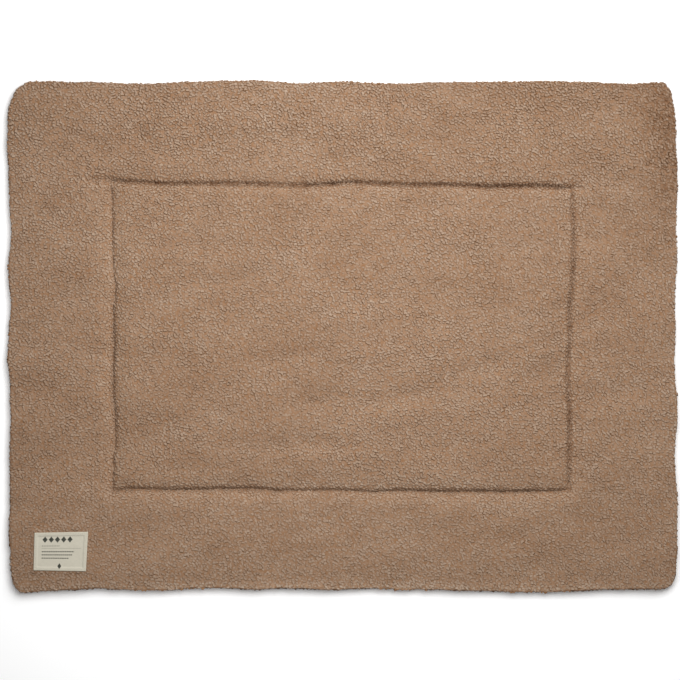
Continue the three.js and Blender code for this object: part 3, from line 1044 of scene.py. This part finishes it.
def make_stitch(name, length, thickness):
    """One closed stitch along X: a short strand of thread whose ends dip into the cloth."""
    sides = STITCH_SIDES
    points, faces = [], []
    for place, plump in STITCH_STATIONS:
        dip = thickness * (1 - plump) * STITCH_DIP
        radius = thickness / 2 * plump
        for side in range(sides):
            turn = 2 * math.pi * side / sides
            across, up = radius * math.cos(turn), radius * math.sin(turn) - dip
            points.append((place * length, across, up))
    for ring in range(len(STITCH_STATIONS) - 1):
        for side in range(sides):
            other = (side + 1) % sides
            near, far = ring * sides, (ring + 1) * sides
            faces.append((near + side, far + side, far + other, near + other))
    faces.append(tuple(range(sides)))
    faces.append(tuple(range(len(points) - sides, len(points)))[::-1])
    return bpy.data.objects.new(name, mesh_from(name, np.array(points) * MM, faces))


def sew_row(name, line_points, stitch, material):
    """Sews a closed row of stitches through the given points, in millimetres."""
    count = len(line_points)
    line = bpy.data.meshes.new("sewing_line")
    edges = [(index, (index + 1) % count) for index in range(count)]
    line.from_pydata(np.array(line_points) * MM, edges, [])
    source = new_object("sewing_line", line)
    shape = make_stitch("stitch", stitch["length"], stitch["thickness"])
    tree = bpy.data.node_groups.get("stitch_row") or stitch_tree()
    pitch = stitch["pitch"] * MM
    mesh = run_tree(source, tree, name, pitch=pitch, stitch=shape, material=material)
    bpy.data.objects.remove(source)
    bpy.data.objects.remove(shape)
    thread = new_object(name, mesh)
    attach(thread, "root")
    return thread


# Materials

# Soft uneven patches of shade, wider than they are tall
PATCHES = {"Scale": 26.0, "Detail": 3.0, "Roughness": 0.6}
PATCH_STRETCH = (0.5, 1.0, 1.0)
# Painted light and shade shows as small marks, not as one even tint: their contrast and their foot
SHADE_MARKS = {"Scale": 240.0, "Detail": 1.0}
SHADE_MARK_CONTRAST, SHADE_MARK_FOOT = 5.0, -1.5
# Darker shade turns redder, as light bounced deep in the pile does: painted bounce light. Red,
# green and blue fall at their own pace
FALL = {"X": 0.8, "Y": 1.06, "Z": 1.3}
# Painted shade on each curl: its top is evenly pale, and its flanks fall off into the dark between
# the curls
FLANK_SHADE = {"From Min": 0.375, "From Max": 0.6, "To Min": 0.06, "To Max": 0.9}
# Loose fibres even out a curl's shading where the cloth lies level, and less the more it slopes
LEVEL_POWER = 5.0
# Single fibres of a curl, the loops of the ground and how pale their tops are over the ground's
# painted shade, and a warm sheen
FIBRES = {"Scale": 1500.0, "Detail": 2.0}
GROUND_LOOPS = {"Scale": 330.0, "Randomness": 1.0}
GROUND_LIT_SHARE = 0.8
TEDDY_SHEEN_TINT = (1.0, 0.72, 0.5, 1)
# The label's weave: pitch of a thread in millimetres, how far threads pass under each other, and
# slubs that are long across the label. They change its shade and wear its print
WEAVE_PITCH = 0.42
WEAVE_SWING = 0.35
SLUBS = {"Scale": 1.6, "Detail": 2.0}
SLUB_STRETCH = 0.12
SLUB_SHADES = (0.9, 1.1)
WORN_SHARE, WORN_LEAST = 0.5, 0.7
# Twist of the sewing thread, and the shade between its plies
TWIST = {"Scale": 900.0, "Distortion": 1.5, "Detail": 1.0}
PLY_SHADE = 0.7


def new_material(name):
    """A new material, a bench for its nodes, and its shader."""
    material = bpy.data.materials.new(name)
    material.use_nodes = True
    tree = material.node_tree
    return material, Bench(tree), tree.nodes["Principled BSDF"]


def attribute(bench, name, output="Fac"):
    """A value that the mesh keeps for each point."""
    return bench.take(output, "ShaderNodeAttribute", attribute_name=name)


def surface(bench, shader, colour, height, strength, distance, **bump):
    """Feeds a shader its colour, and a bump of the given strength and height in metres."""
    bump = {"Height": height, "Strength": strength, "Distance": distance, **bump}
    bench.feed(shader.inputs["Base Color"], colour)
    bench.feed(shader.inputs["Normal"], bench.take("Normal", "ShaderNodeBump", bump))


def set_matt(shader, sheen, tint):
    """Fuzzy, dull cloth: no gloss, and a soft glow where the fibres catch the light."""
    finish = {
        "Roughness": 0.95,
        "Specular IOR Level": 0.15,
        "Sheen Weight": sheen,
        "Sheen Roughness": 0.55,
        "Sheen Tint": tint,
    }
    for name, value in finish.items():
        shader.inputs[name].default_value = value


def teddy_colour_group():
    """Colour of the fleece: painted shade towards the root, pale at the crest, in soft uneven
    patches.
    """
    tree, bench, given, made = new_tree(
        "teddy_colour",
        "ShaderNodeTree",
        (
            ("Position", "Vector", None),
            ("Root", "Color", (0.2, 0.12, 0.07, 1)),
            ("Crest", "Color", (0.5, 0.34, 0.23, 1)),
            ("Height", "Float", 0.5),
            ("Tone", "Float", 0.5),
            ("Tone spread", "Float", 0.3),
            ("Patch strength", "Float", 0.2),
            ("Brushed", "Float", 0.0),
        ),
        (("Color", "Color"),),
    )
    body = bench.mix(given["Height"], given["Root"], given["Crest"])
    stretched = bench.vector("MULTIPLY", {0: given["Position"], 1: PATCH_STRETCH})
    patchy = bench.math("SUBTRACT", bench.noise(Vector=stretched, **PATCHES), 0.5)
    toned = bench.math("SUBTRACT", given["Tone"], 0.5)
    # Painted light and shade, broken into small marks
    marks = bench.noise(Vector=given["Position"], **SHADE_MARKS)
    marked = bench.math("MULTIPLY_ADD", marks, SHADE_MARK_CONTRAST, SHADE_MARK_FOOT)
    shade = bench.sum(
        1.0,
        bench.math("MULTIPLY", given["Brushed"], marked),
        bench.math("MULTIPLY", patchy, given["Patch strength"]),
        bench.math("MULTIPLY", toned, given["Tone spread"]),
    )
    # Painted bounce light: darker shade turns redder
    fallen = {axis: bench.math("POWER", shade, pace) for axis, pace in FALL.items()}
    tint = bench.take("Vector", "ShaderNodeCombineXYZ", fallen)
    bench.feed(made["Color"], bench.vector("MULTIPLY", {0: body, 1: tint}))
    return tree


def teddy_colour(bench, settings, colour_group, inputs):
    """Colour of teddy cloth, from the group and the settings that its pile and ground share."""
    shared = {
        "Root": (*settings.root_colour, 1),
        "Crest": (*settings.crest_colour, 1),
        "Patch strength": settings.patch_strength,
        # Painted light and shade that the body keeps for each point
        "Brushed": attribute(bench, "brushed"),
    }
    return bench.take("Color", "ShaderNodeGroup", {**shared, **inputs}, node_tree=colour_group)


def pile_material(settings, colour_group):
    """Soft curls of fleece, each with its own tone."""
    material, bench, shader = new_material("teddy_pile")
    position = bench.take("Object", "ShaderNodeTexCoord")
    # Painted shade: a curl darkens from its crest down its flanks
    pale = {"Value": attribute(bench, "crest"), **FLANK_SHADE}
    colour = teddy_colour(bench, settings, colour_group, {
        "Position": position,
        "Height": bench.take("Result", "ShaderNodeMapRange", pale),
        "Tone": attribute(bench, "tone"),
        "Tone spread": settings.tone_spread,
    })
    # Loose fibres scatter the light, so a curl is shaded much like the cloth that it stands on
    below = attribute(bench, "cloth_normal", "Vector")
    level = bench.math("MAXIMUM", bench.take("Z", "ShaderNodeSeparateXYZ", {0: below}), 0.0)
    share = bench.math("MULTIPLY", bench.math("POWER", level, LEVEL_POWER), settings.softness)
    both = {"Factor": share, 4: bench.take("Normal", "ShaderNodeNewGeometry"), 5: below}
    soft = bench.take(1, "ShaderNodeMix", both, data_type="VECTOR")
    shaded = bench.vector("NORMALIZE", {0: soft})
    fibres = bench.noise(Vector=position, **FIBRES)
    surface(bench, shader, colour, fibres, strength=0.2, distance=0.0004, Normal=shaded)
    set_matt(shader, sheen=0.07, tint=TEDDY_SHEEN_TINT)
    return material


def ground_material(settings, colour_group):
    """The looped ground of the cloth, which shows between the curls and under the mat."""
    material, bench, shader = new_material("teddy_ground")
    position = bench.take("Object", "ShaderNodeTexCoord")
    loops = {"Vector": position, **GROUND_LOOPS}
    valley = bench.take("Distance", "ShaderNodeTexVoronoi", loops, feature="SMOOTH_F1")
    # Painted shade: the ground is darker than the crests, and darkest in the valleys between its
    # loops
    height = bench.math("SUBTRACT", 1.0, valley)
    colour = teddy_colour(bench, settings, colour_group, {
        "Position": position,
        "Height": bench.math("MULTIPLY", height, GROUND_LIT_SHARE),
        "Tone spread": 0.0,
    })
    surface(bench, shader, colour, height, strength=0.5, distance=0.0003)
    set_matt(shader, sheen=0.03, tint=TEDDY_SHEEN_TINT)
    return material


def plain_weave_group():
    """Over and under of a fine plain weave: the height of its threads and a tint for each."""
    tree, bench, given, made = new_tree(
        "plain_weave",
        "ShaderNodeTree",
        (("Across", "Float", 0.0), ("Up", "Float", 0.0), ("Thread pitch", "Float", 0.5)),
        (("Height", "Float"), ("Tint", "Float")),
    )
    turns = [
        bench.math("MULTIPLY", bench.math("DIVIDE", given[key], given["Thread pitch"]), math.pi)
        for key in ("Across", "Up")
    ]
    warp, weft = (bench.math("ABSOLUTE", bench.math("SINE", turn)) for turn in turns)
    swaps = bench.math("MULTIPLY", *(bench.math("COSINE", turn) for turn in turns))
    over = bench.math("MULTIPLY_ADD", swaps, WEAVE_SWING, 0.5)
    bench.feed(made["Height"], bench.math("MULTIPLY", bench.math("MULTIPLY", warp, weft), over))
    place = {"X": bench.math("MULTIPLY", given["Across"], SLUB_STRETCH), "Y": given["Up"]}
    stretched = bench.take("Vector", "ShaderNodeCombineXYZ", place)
    bench.feed(made["Tint"], bench.noise(Vector=stretched, **SLUBS))
    return tree


# Printed marks on the label, in millimetres from its left and top edges. Columns: first and last
# place across, middle down, pitch, half width and half height of a mark, strength of the ink, and
# whether the mark is a rhomb or a dash
PRINTED_ROWS = (
    (10.7, 54.2, 10.0, 8.7, 3.7, 4.3, 1.0, True),
    (10.7, 36.0, 18.8, 2.3, 0.8, 0.85, 0.9, True),
    (10.7, 66.0, 22.2, 8.0, 4.1, 0.26, 0.5, False),
    (10.7, 56.3, 26.8, 3.2, 1.3, 0.7, 0.95, False),
    (10.7, 53.9, 31.2, 2.7, 1.1, 0.7, 0.95, False),
    (10.7, 49.1, 35.8, 3.2, 1.3, 0.7, 0.95, False),
    (33.4, 39.4, 46.7, 6.0, 2.8, 4.1, 1.0, True),
)
# A mark fades out between these shares of its size
MARK_EDGE = {"From Min": 1.1, "From Max": 0.9, "To Min": 0.0}


def label_print_group():
    """Ink of plain rhombs and dashes in rows, as a mask from 0 to 1."""
    tree, bench, given, made = new_tree(
        "label_print",
        "ShaderNodeTree",
        (("Across", "Float", 0.0), ("Down", "Float", 0.0)),
        (("Ink", "Float"),),
    )
    ink = 0.0
    for first, last, middle, pitch, half_width, half_height, strength, is_rhomb in PRINTED_ROWS:
        cell = bench.math("DIVIDE", bench.math("SUBTRACT", given["Across"], first), pitch)
        off_x = bench.math("SUBTRACT", bench.math("FRACT", cell), 0.5)
        share_x = bench.math("DIVIDE", bench.math("ABSOLUTE", off_x), half_width / pitch)
        off_y = bench.math("SUBTRACT", given["Down"], middle)
        share_y = bench.math("DIVIDE", bench.math("ABSOLUTE", off_y), half_height)
        reach = bench.math("ADD" if is_rhomb else "MAXIMUM", share_x, share_y)
        edge = {"Value": reach, "To Max": strength, **MARK_EDGE}
        mark = bench.take("Result", "ShaderNodeMapRange", edge)
        begun = bench.math("GREATER_THAN", given["Across"], first)
        ended = bench.math("LESS_THAN", given["Across"], last)
        shown = bench.math("MULTIPLY", mark, bench.math("MULTIPLY", begun, ended))
        ink = bench.math("MAXIMUM", ink, shown)
    bench.feed(made["Ink"], ink)
    return tree


def label_material(settings):
    """Cream woven cloth with soft slubs and faded dark print."""
    material, bench, shader = new_material("label_cloth")
    uv = bench.take("UV", "ShaderNodeUVMap", uv_map="cut")
    metres = bench.add("ShaderNodeSeparateXYZ", {0: uv}).outputs
    across = bench.math("MULTIPLY", metres["X"], 1 / MM)
    down = bench.math("MULTIPLY", metres["Y"], -1 / MM)
    threads = {"Across": across, "Up": down, "Thread pitch": WEAVE_PITCH}
    weave = bench.add("ShaderNodeGroup", threads, node_tree=plain_weave_group()).outputs
    place = {"Across": across, "Down": down}
    ink = bench.take("Ink", "ShaderNodeGroup", place, node_tree=label_print_group())
    shades = [(*(part * shade for part in settings.label_colour), 1) for shade in SLUB_SHADES]
    tinted = bench.mix(weave["Tint"], *shades)
    worn = bench.math("MULTIPLY_ADD", weave["Tint"], WORN_SHARE, WORN_LEAST)
    worn = bench.math("MULTIPLY", ink, worn)
    colour = bench.mix(worn, tinted, (*settings.ink_colour, 1))
    surface(bench, shader, colour, weave["Height"], strength=0.5, distance=0.0003)
    set_matt(shader, sheen=0.1, tint=(1.0, 0.95, 0.85, 1))
    return material


def thread_material(name, colour):
    """Twisted sewing thread: fine slanting stripes of light and shade."""
    material, bench, shader = new_material(name)
    plies = {"Vector": bench.take("Object", "ShaderNodeTexCoord"), **TWIST}
    twist = bench.take("Fac", "ShaderNodeTexWave", plies, bands_direction="DIAGONAL")
    shaded = bench.mix(twist, (*(part * PLY_SHADE for part in colour), 1), (*colour, 1))
    surface(bench, shader, shaded, twist, strength=0.4, distance=0.0002)
    shader.inputs["Roughness"].default_value = 0.7
    return material


def plain_material(name, colour, roughness):
    """A plain matt surface, for the floor."""
    material, _, shader = new_material(name)
    shader.inputs["Base Color"].default_value = (*colour, 1)
    shader.inputs["Roughness"].default_value = roughness
    return material


# Settings


class PlaypenMatCloth(bpy.types.PropertyGroup):
    """Sizes and colours of the pile, the label and the quilting thread."""

    pile_height: bpy.props.FloatProperty(
        name="Pile height",
        description="How far the curls stand out of the cloth, in millimetres",
        default=1.7,
        min=0.5,
        max=6.0,
    )
    curl_length: bpy.props.FloatProperty(
        name="Curl length",
        description="Length of a curl of fleece from end to end",
        default=0.0053,
        unit="LENGTH",
    )
    curl_gap: bpy.props.FloatProperty(
        name="Curl gap",
        description="Least distance between the middles of two curls",
        default=0.0034,
        unit="LENGTH",
    )
    curl_density: bpy.props.FloatProperty(
        name="Curl density",
        description="Curls tried on each square metre, before those too close together go",
        default=200000.0,
    )
    lay_spread: bpy.props.FloatProperty(
        name="Lay spread",
        description="How far curls turn away from the lay of the pile",
        default=0.5,
        subtype="ANGLE",
    )
    # Painted shade: the fleece darkens to this colour at the ends and flanks of each curl
    root_colour: bpy.props.FloatVectorProperty(
        name="Root colour",
        description="Colour of the fleece deep in the pile",
        default=(0.205, 0.095, 0.037),
        subtype="COLOR",
    )
    crest_colour: bpy.props.FloatVectorProperty(
        name="Crest colour",
        description="Colour of the fleece at the top of the curls",
        default=(0.297, 0.208, 0.147),
        subtype="COLOR",
    )
    label_colour: bpy.props.FloatVectorProperty(
        name="Label colour",
        description="Colour of the label's cloth",
        default=(0.495, 0.462, 0.377),
        subtype="COLOR",
    )
    ink_colour: bpy.props.FloatVectorProperty(
        name="Ink colour",
        description="Colour of the print on the label",
        default=(0.022, 0.026, 0.020),
        subtype="COLOR",
    )
    thread_colour: bpy.props.FloatVectorProperty(
        name="Quilting thread colour",
        description="Colour of the thread in the quilted channel",
        default=(0.16, 0.085, 0.045),
        subtype="COLOR",
    )
    softness: bpy.props.FloatProperty(
        name="Softness",
        description="How much the loose fibres even out the shading of a curl",
        default=0.94,
        subtype="FACTOR",
    )
    tone_spread: bpy.props.FloatProperty(
        name="Tone spread",
        description="How much one curl differs from the next in shade",
        default=0.24,
        subtype="FACTOR",
    )
    patch_strength: bpy.props.FloatProperty(
        name="Patch strength",
        description="How much broad patches of the pile differ in shade",
        default=0.48,
        subtype="FACTOR",
    )


class PlaypenMatStage(bpy.types.PropertyGroup):
    """Lights and floor of the studio."""

    key_power: bpy.props.FloatProperty(
        name="Key light power",
        description="Power of the large soft light beyond the top edge",
        default=34.4,
        unit="POWER",
    )
    overhead_power: bpy.props.FloatProperty(
        name="Overhead light power",
        description="Power of the soft light close above the middle of the mat",
        default=8.3,
        unit="POWER",
    )
    sky_strength: bpy.props.FloatProperty(
        name="Sky strength",
        description="Strength of the even light from all round",
        default=0.25,
    )
    floor_colour: bpy.props.FloatVectorProperty(
        name="Floor colour",
        description="Colour of the studio floor",
        default=(0.97, 0.97, 0.97),
        subtype="COLOR",
    )
    floor_glow: bpy.props.FloatProperty(
        name="Floor glow",
        description="Even light that the pale floor gives off, as a light table does",
        default=0.05,
    )


# Operators


class PLAYPENMAT_OT_body(bpy.types.Operator):
    """Make the padded body under the pile."""

    bl_idname = "playpen_mat.body"
    bl_label = "Padded body"

    def execute(self, context):
        cloth = context.scene.playpen_mat_cloth
        body = new_object("mat_body", make_body_mesh(cloth.pile_height))
        body.data.materials.append(ground_material(cloth, teddy_colour_group()))
        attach(body, "root")
        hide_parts("mat")
        return {"FINISHED"}


# Flat shapes high above the mat keep its label and its quilting line free of curls. Their height
# in millimetres, and how many places along each side of the line they are cut at
BARE_HEIGHT = 200
BARE_STATIONS = 90


def make_bare_places():
    """Flat shapes high above the places where no curl grows: the label and the quilting line."""
    points = [(x + SHIFT[0], y + SHIFT[1], BARE_HEIGHT) for x, y in LABEL_CORNERS]
    faces = [(0, 1, 2, 3)]
    for side, (_, _, half) in CREASE.items():
        upright = side in ("left", "right")
        first, last = ("bottom", "top") if upright else ("left", "right")
        for place in np.linspace(CHANNEL[first], CHANNEL[last], BARE_STATIONS):
            for off in (-half, half):
                spot = (CHANNEL[side] + off, place) if upright else (place, CHANNEL[side] - off)
                x, y = place_cloth(*np.array(spot, dtype=float)[:, None])
                points.append((x[0], y[0], BARE_HEIGHT))
            if place > CHANNEL[first]:
                end = len(points) - 1
                faces.append((end - 3, end - 2, end, end - 1))
    return mesh_from("bare_places", [Vector(point) * MM for point in points], faces)


class PLAYPENMAT_OT_pile(bpy.types.Operator):
    """Lay the curls of fleece over the body, patch by patch."""

    bl_idname = "playpen_mat.pile"
    bl_label = "Teddy pile"

    def execute(self, context):
        body = bpy.data.objects.get("mat_body")
        if body is None:
            raise RuntimeError("make the padded body before its pile")
        cloth = context.scene.playpen_mat_cloth
        curls = bpy.data.collections.new("curls")
        for shape in CURL_SHAPES:
            curls.objects.link(make_curl(*shape))
        bare = new_object("bare_places", make_bare_places())
        source = new_object("pile_source", body.data)
        tree = pile_tree()
        given = {
            "curls": curls,
            "bare_places": bare,
            "least_gap": cloth.curl_gap,
            "density": cloth.curl_density,
            "curl_length": cloth.curl_length,
            "lay_spread": cloth.lay_spread,
            "ruffle": CURL_RUFFLE,
            "material": pile_material(cloth, bpy.data.node_groups["teddy_colour"]),
        }
        for patch, name in enumerate(PATCH_NAMES):
            mesh = run_tree(source, tree, name, patch=patch, seed=PILE_SEED + patch, **given)
            pile = new_object(name, mesh)
            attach(pile, "root")
        for helper in (source, bare, *curls.objects):
            bpy.data.objects.remove(helper)
        bpy.data.collections.remove(curls)
        return {"FINISHED"}


def points_round(left, bottom, right, top, count):
    """Points round a rectangle from its lower left corner, count of them to a side."""
    corners = [(left, bottom), (right, bottom), (right, top), (left, top)]
    points = []
    for start, end in zip(corners, corners[1:] + corners[:1]):
        for share in np.linspace(0, 1, count, endpoint=False):
            points.append([a + (b - a) * share for a, b in zip(start, end)])
    return np.array(points).T


def quilt_line():
    """Points of the quilting line, on the bottom of the crease."""
    sides = (CHANNEL[side] for side in ("left", "bottom", "right", "top"))
    x, y = points_round(*sides, count=QUILT_STATIONS)
    return np.column_stack([*place_cloth(x, y), cloth_top(x, y)])


class PLAYPENMAT_OT_quilting(bpy.types.Operator):
    """Sew the quilting thread along the bottom of the channel."""

    bl_idname = "playpen_mat.quilting"
    bl_label = "Quilting thread"

    def execute(self, context):
        cloth = context.scene.playpen_mat_cloth
        points = quilt_line() - (0, 0, cloth.pile_height - QUILT_STITCH["thickness"] / 2)
        material = thread_material("quilting_thread", cloth.thread_colour)
        thread = sew_row("quilting_thread", points, QUILT_STITCH, material)
        return {"FINISHED"}


def label_size():
    """Length and height of the label as sewn, along its lower and left edges."""
    left_bottom, right_bottom, _, left_top = np.array(LABEL_CORNERS)
    return np.linalg.norm(right_bottom - left_bottom), np.linalg.norm(left_top - left_bottom)


def label_spots(u, v):
    """Places between the label's four corners, for shares along its length and its height."""
    left_bottom, right_bottom, right_top, left_top = np.array(LABEL_CORNERS) + SHIFT
    u, v = u[:, None], v[:, None]
    low = left_bottom * (1 - u) + right_bottom * u
    high = left_top * (1 - u) + right_top * u
    return low * (1 - v) + high * v


# Ripples of the label. Columns: size, share of the height. They fade out towards its edges, from
# INNER_REACH in, to EDGE_RIPPLE there
LABEL_RIPPLES = ((16, 1), (6, 0.5))
INNER_REACH = 6
EDGE_RIPPLE = 0.3
# Its folded edge is rounded down to about this share of its thickness
FOLD_SHARE = 0.45
FOLD_START = 0.02


def label_top(across, up, length, height):
    """Top of the label's cloth: thicker over the hems, with soft ripples of a sewn tape."""
    edge = np.minimum(np.minimum(across, length - across), np.minimum(up, height - up))
    hem = 1 - smooth((edge - HEM_WIDTH) / HEM_STEP)
    tall = LABEL_THICKNESS + (HEM_THICKNESS - LABEL_THICKNESS) * hem
    drawn = LABEL_DRAWN * np.exp(-np.square((edge - LABEL_SEAM) / LABEL_DRAWN_REACH))
    ripple = sum(
        share * lumps(across, up, size, size, seed)
        for seed, (size, share) in enumerate(LABEL_RIPPLES, RIPPLE_SEED)
    )
    ripple = ripple * LABEL_RIPPLE * (EDGE_RIPPLE + (1 - EDGE_RIPPLE) * smooth(edge / INNER_REACH))
    rounded = round_over(np.clip(edge, 0, None) + FOLD_START, 2 * LABEL_EDGE)
    return tall * (FOLD_SHARE + (1 - FOLD_SHARE) * rounded) - drawn + ripple


# Lines across the label's grid, as distances in from its edge
LABEL_STEPS = (
    0, 0.18, 0.5, 1.1, LABEL_SEAM - 0.5, LABEL_SEAM, LABEL_SEAM + 0.5,
    HEM_WIDTH, HEM_WIDTH + HEM_STEP / 2, HEM_WIDTH + HEM_STEP,
)
# The print is on the upper face, so the underside's map lies this far clear of it
UNDERSIDE_MAP_SHIFT = 500


def label_lines(size):
    """Sorted lines across the label, close together at its edges, seam and hems."""
    inner = np.linspace(LABEL_STEPS[-1], size - LABEL_STEPS[-1], round(size / LABEL_CELL))
    return np.unique(np.concatenate([LABEL_STEPS, inner, size - np.array(LABEL_STEPS)]).round(4))


def make_label_mesh():
    """The label as one closed sheet, with a UV map of its cut size in metres."""
    length, height = label_size()
    columns, rows = label_lines(length), label_lines(height)
    wide, tall = len(columns), len(rows)
    across, up = (grid.ravel() for grid in np.meshgrid(columns, rows))
    flat = label_spots(across / length, up / height)
    underside = SEAT_HEIGHT + SEAT_GAP
    top = np.column_stack([flat, underside + label_top(across, up, length, height)])
    bottom = np.column_stack([flat, np.full(len(flat), underside)])
    loop = np.array(border_loop(wide, tall))
    count = wide * tall
    following = np.roll(loop, -1)
    quads = np.concatenate([
        grid_quads(wide, tall),
        grid_quads(wide, tall, count, flip=True),
        np.stack([count + loop, count + following, following, loop], axis=1),
    ])
    mesh = mesh_from("label_sheet", np.concatenate([top, bottom]) * MM, quads.tolist())

    cut = mesh.uv_layers.new(name="cut")
    upper = np.column_stack([across, up - height])
    both = np.concatenate([upper, upper + (0, UNDERSIDE_MAP_SHIFT)]) * MM
    corners = np.empty(len(mesh.loops), dtype=np.int32)
    mesh.loops.foreach_get("vertex_index", corners)
    cut.data.foreach_set("uv", both[corners].ravel())
    return mesh


def label_seam_line():
    """Points of the label's own sewing, a little way in from its edges."""
    length, height = label_size()
    sides = (LABEL_SEAM, LABEL_SEAM, length - LABEL_SEAM, height - LABEL_SEAM)
    across, up = points_round(*sides, count=LABEL_STATIONS)
    flat = label_spots(across / length, up / height)
    tall = SEAT_HEIGHT + SEAT_GAP + label_top(across, up, length, height)
    return np.column_stack([flat, tall + LABEL_STITCH["thickness"] * LABEL_STITCH_LIFT])


class PLAYPENMAT_OT_label(bpy.types.Operator):
    """Make the woven label with its folded hems and its sewing."""

    bl_idname = "playpen_mat.label"
    bl_label = "Label"

    def execute(self, context):
        cloth = context.scene.playpen_mat_cloth
        label = new_object("label_sheet", make_label_mesh())
        label.data.materials.append(label_material(cloth))
        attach(label, "root")
        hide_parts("label")
        pale = [part * LABEL_THREAD_SHADE for part in cloth.label_colour]
        material = thread_material("label_thread", pale)
        thread = sew_row("label_thread", label_seam_line(), LABEL_STITCH, material)
        return {"FINISHED"}


def add_soft_light(name, power, place, size):
    """A square area light that faces the middle of the mat and doesn't show in the picture."""
    lamp = bpy.data.lights.new(name, "AREA")
    lamp.shape = "SQUARE"
    lamp.size = size
    lamp.energy = power
    light = new_object(name, lamp)
    light.location = place
    light.rotation_euler = (-Vector(place)).to_track_quat("-Z", "Y").to_euler()
    light.visible_camera = False


class PLAYPENMAT_OT_stage(bpy.types.Operator):
    """Set the floor, the soft light and the camera."""

    bl_idname = "playpen_mat.stage"
    bl_label = "Stage"

    def execute(self, context):
        scene = context.scene
        stage = scene.playpen_mat_stage
        half = FLOOR_HALF
        corners = [(-half, -half, 0), (half, -half, 0), (half, half, 0), (-half, half, 0)]
        floor = new_object("floor", mesh_from("floor", corners, [(0, 1, 2, 3)]))
        paper = plain_material("floor", stage.floor_colour, roughness=0.9)
        floor.data.materials.append(paper)
        shader = paper.node_tree.nodes["Principled BSDF"]
        shader.inputs["Emission Color"].default_value = (1, 1, 1, 1)
        shader.inputs["Emission Strength"].default_value = stage.floor_glow

        world = bpy.data.worlds.new("soft_sky")
        world.use_nodes = True
        sky = world.node_tree.nodes["Background"]
        sky.inputs["Color"].default_value = (1, 1, 1, 1)
        sky.inputs["Strength"].default_value = stage.sky_strength
        scene.world = world

        add_soft_light("key_light", stage.key_power, KEY_PLACE, KEY_SIZE)
        add_soft_light("overhead_light", stage.overhead_power, OVERHEAD_PLACE, OVERHEAD_SIZE)

        lens = bpy.data.cameras.new("camera")
        lens.lens = CAMERA_LENS
        lens.sensor_width = CAMERA_SENSOR
        lens.clip_start, lens.clip_end = 0.1, 100
        camera = new_object("camera", lens)
        distance = PHOTO_SIDE * CAMERA_LENS / CAMERA_SENSOR
        camera.location = (*CAMERA_AIM, distance + PHOTO_PLANE)
        scene.camera = camera
        scene.view_settings.view_transform = "Standard"
        return {"FINISHED"}


class PLAYPENMAT_PT_panel(bpy.types.Panel):
    """Lists the steps that make the mat, in their order."""

    bl_idname = "PLAYPENMAT_PT_panel"
    bl_label = "Playpen Mat"
    bl_space_type = "VIEW_3D"
    bl_region_type = "UI"
    bl_category = "Playpen Mat"

    def draw(self, context):
        for operator in OPERATORS:
            self.layout.operator(operator.bl_idname)


OPERATORS = (
    PLAYPENMAT_OT_body,
    PLAYPENMAT_OT_pile,
    PLAYPENMAT_OT_quilting,
    PLAYPENMAT_OT_label,
    PLAYPENMAT_OT_stage,
)
SETTINGS = {"playpen_mat_cloth": PlaypenMatCloth, "playpen_mat_stage": PlaypenMatStage}


def register():
    for group in SETTINGS.values():
        bpy.utils.register_class(group)
    for name, group in SETTINGS.items():
        setattr(bpy.types.Scene, name, bpy.props.PointerProperty(type=group))
    for operator in OPERATORS:
        bpy.utils.register_class(operator)
    bpy.utils.register_class(PLAYPENMAT_PT_panel)


def unregister():
    bpy.utils.unregister_class(PLAYPENMAT_PT_panel)
    for operator in reversed(OPERATORS):
        bpy.utils.unregister_class(operator)
    for name, group in SETTINGS.items():
        delattr(bpy.types.Scene, name)
        bpy.utils.unregister_class(group)


def main():
    register()
    bpy.ops.playpen_mat.body()
    bpy.ops.playpen_mat.pile()
    bpy.ops.playpen_mat.quilting()
    bpy.ops.playpen_mat.label()
    bpy.ops.playpen_mat.stage()


if __name__ == "__main__":
    main()
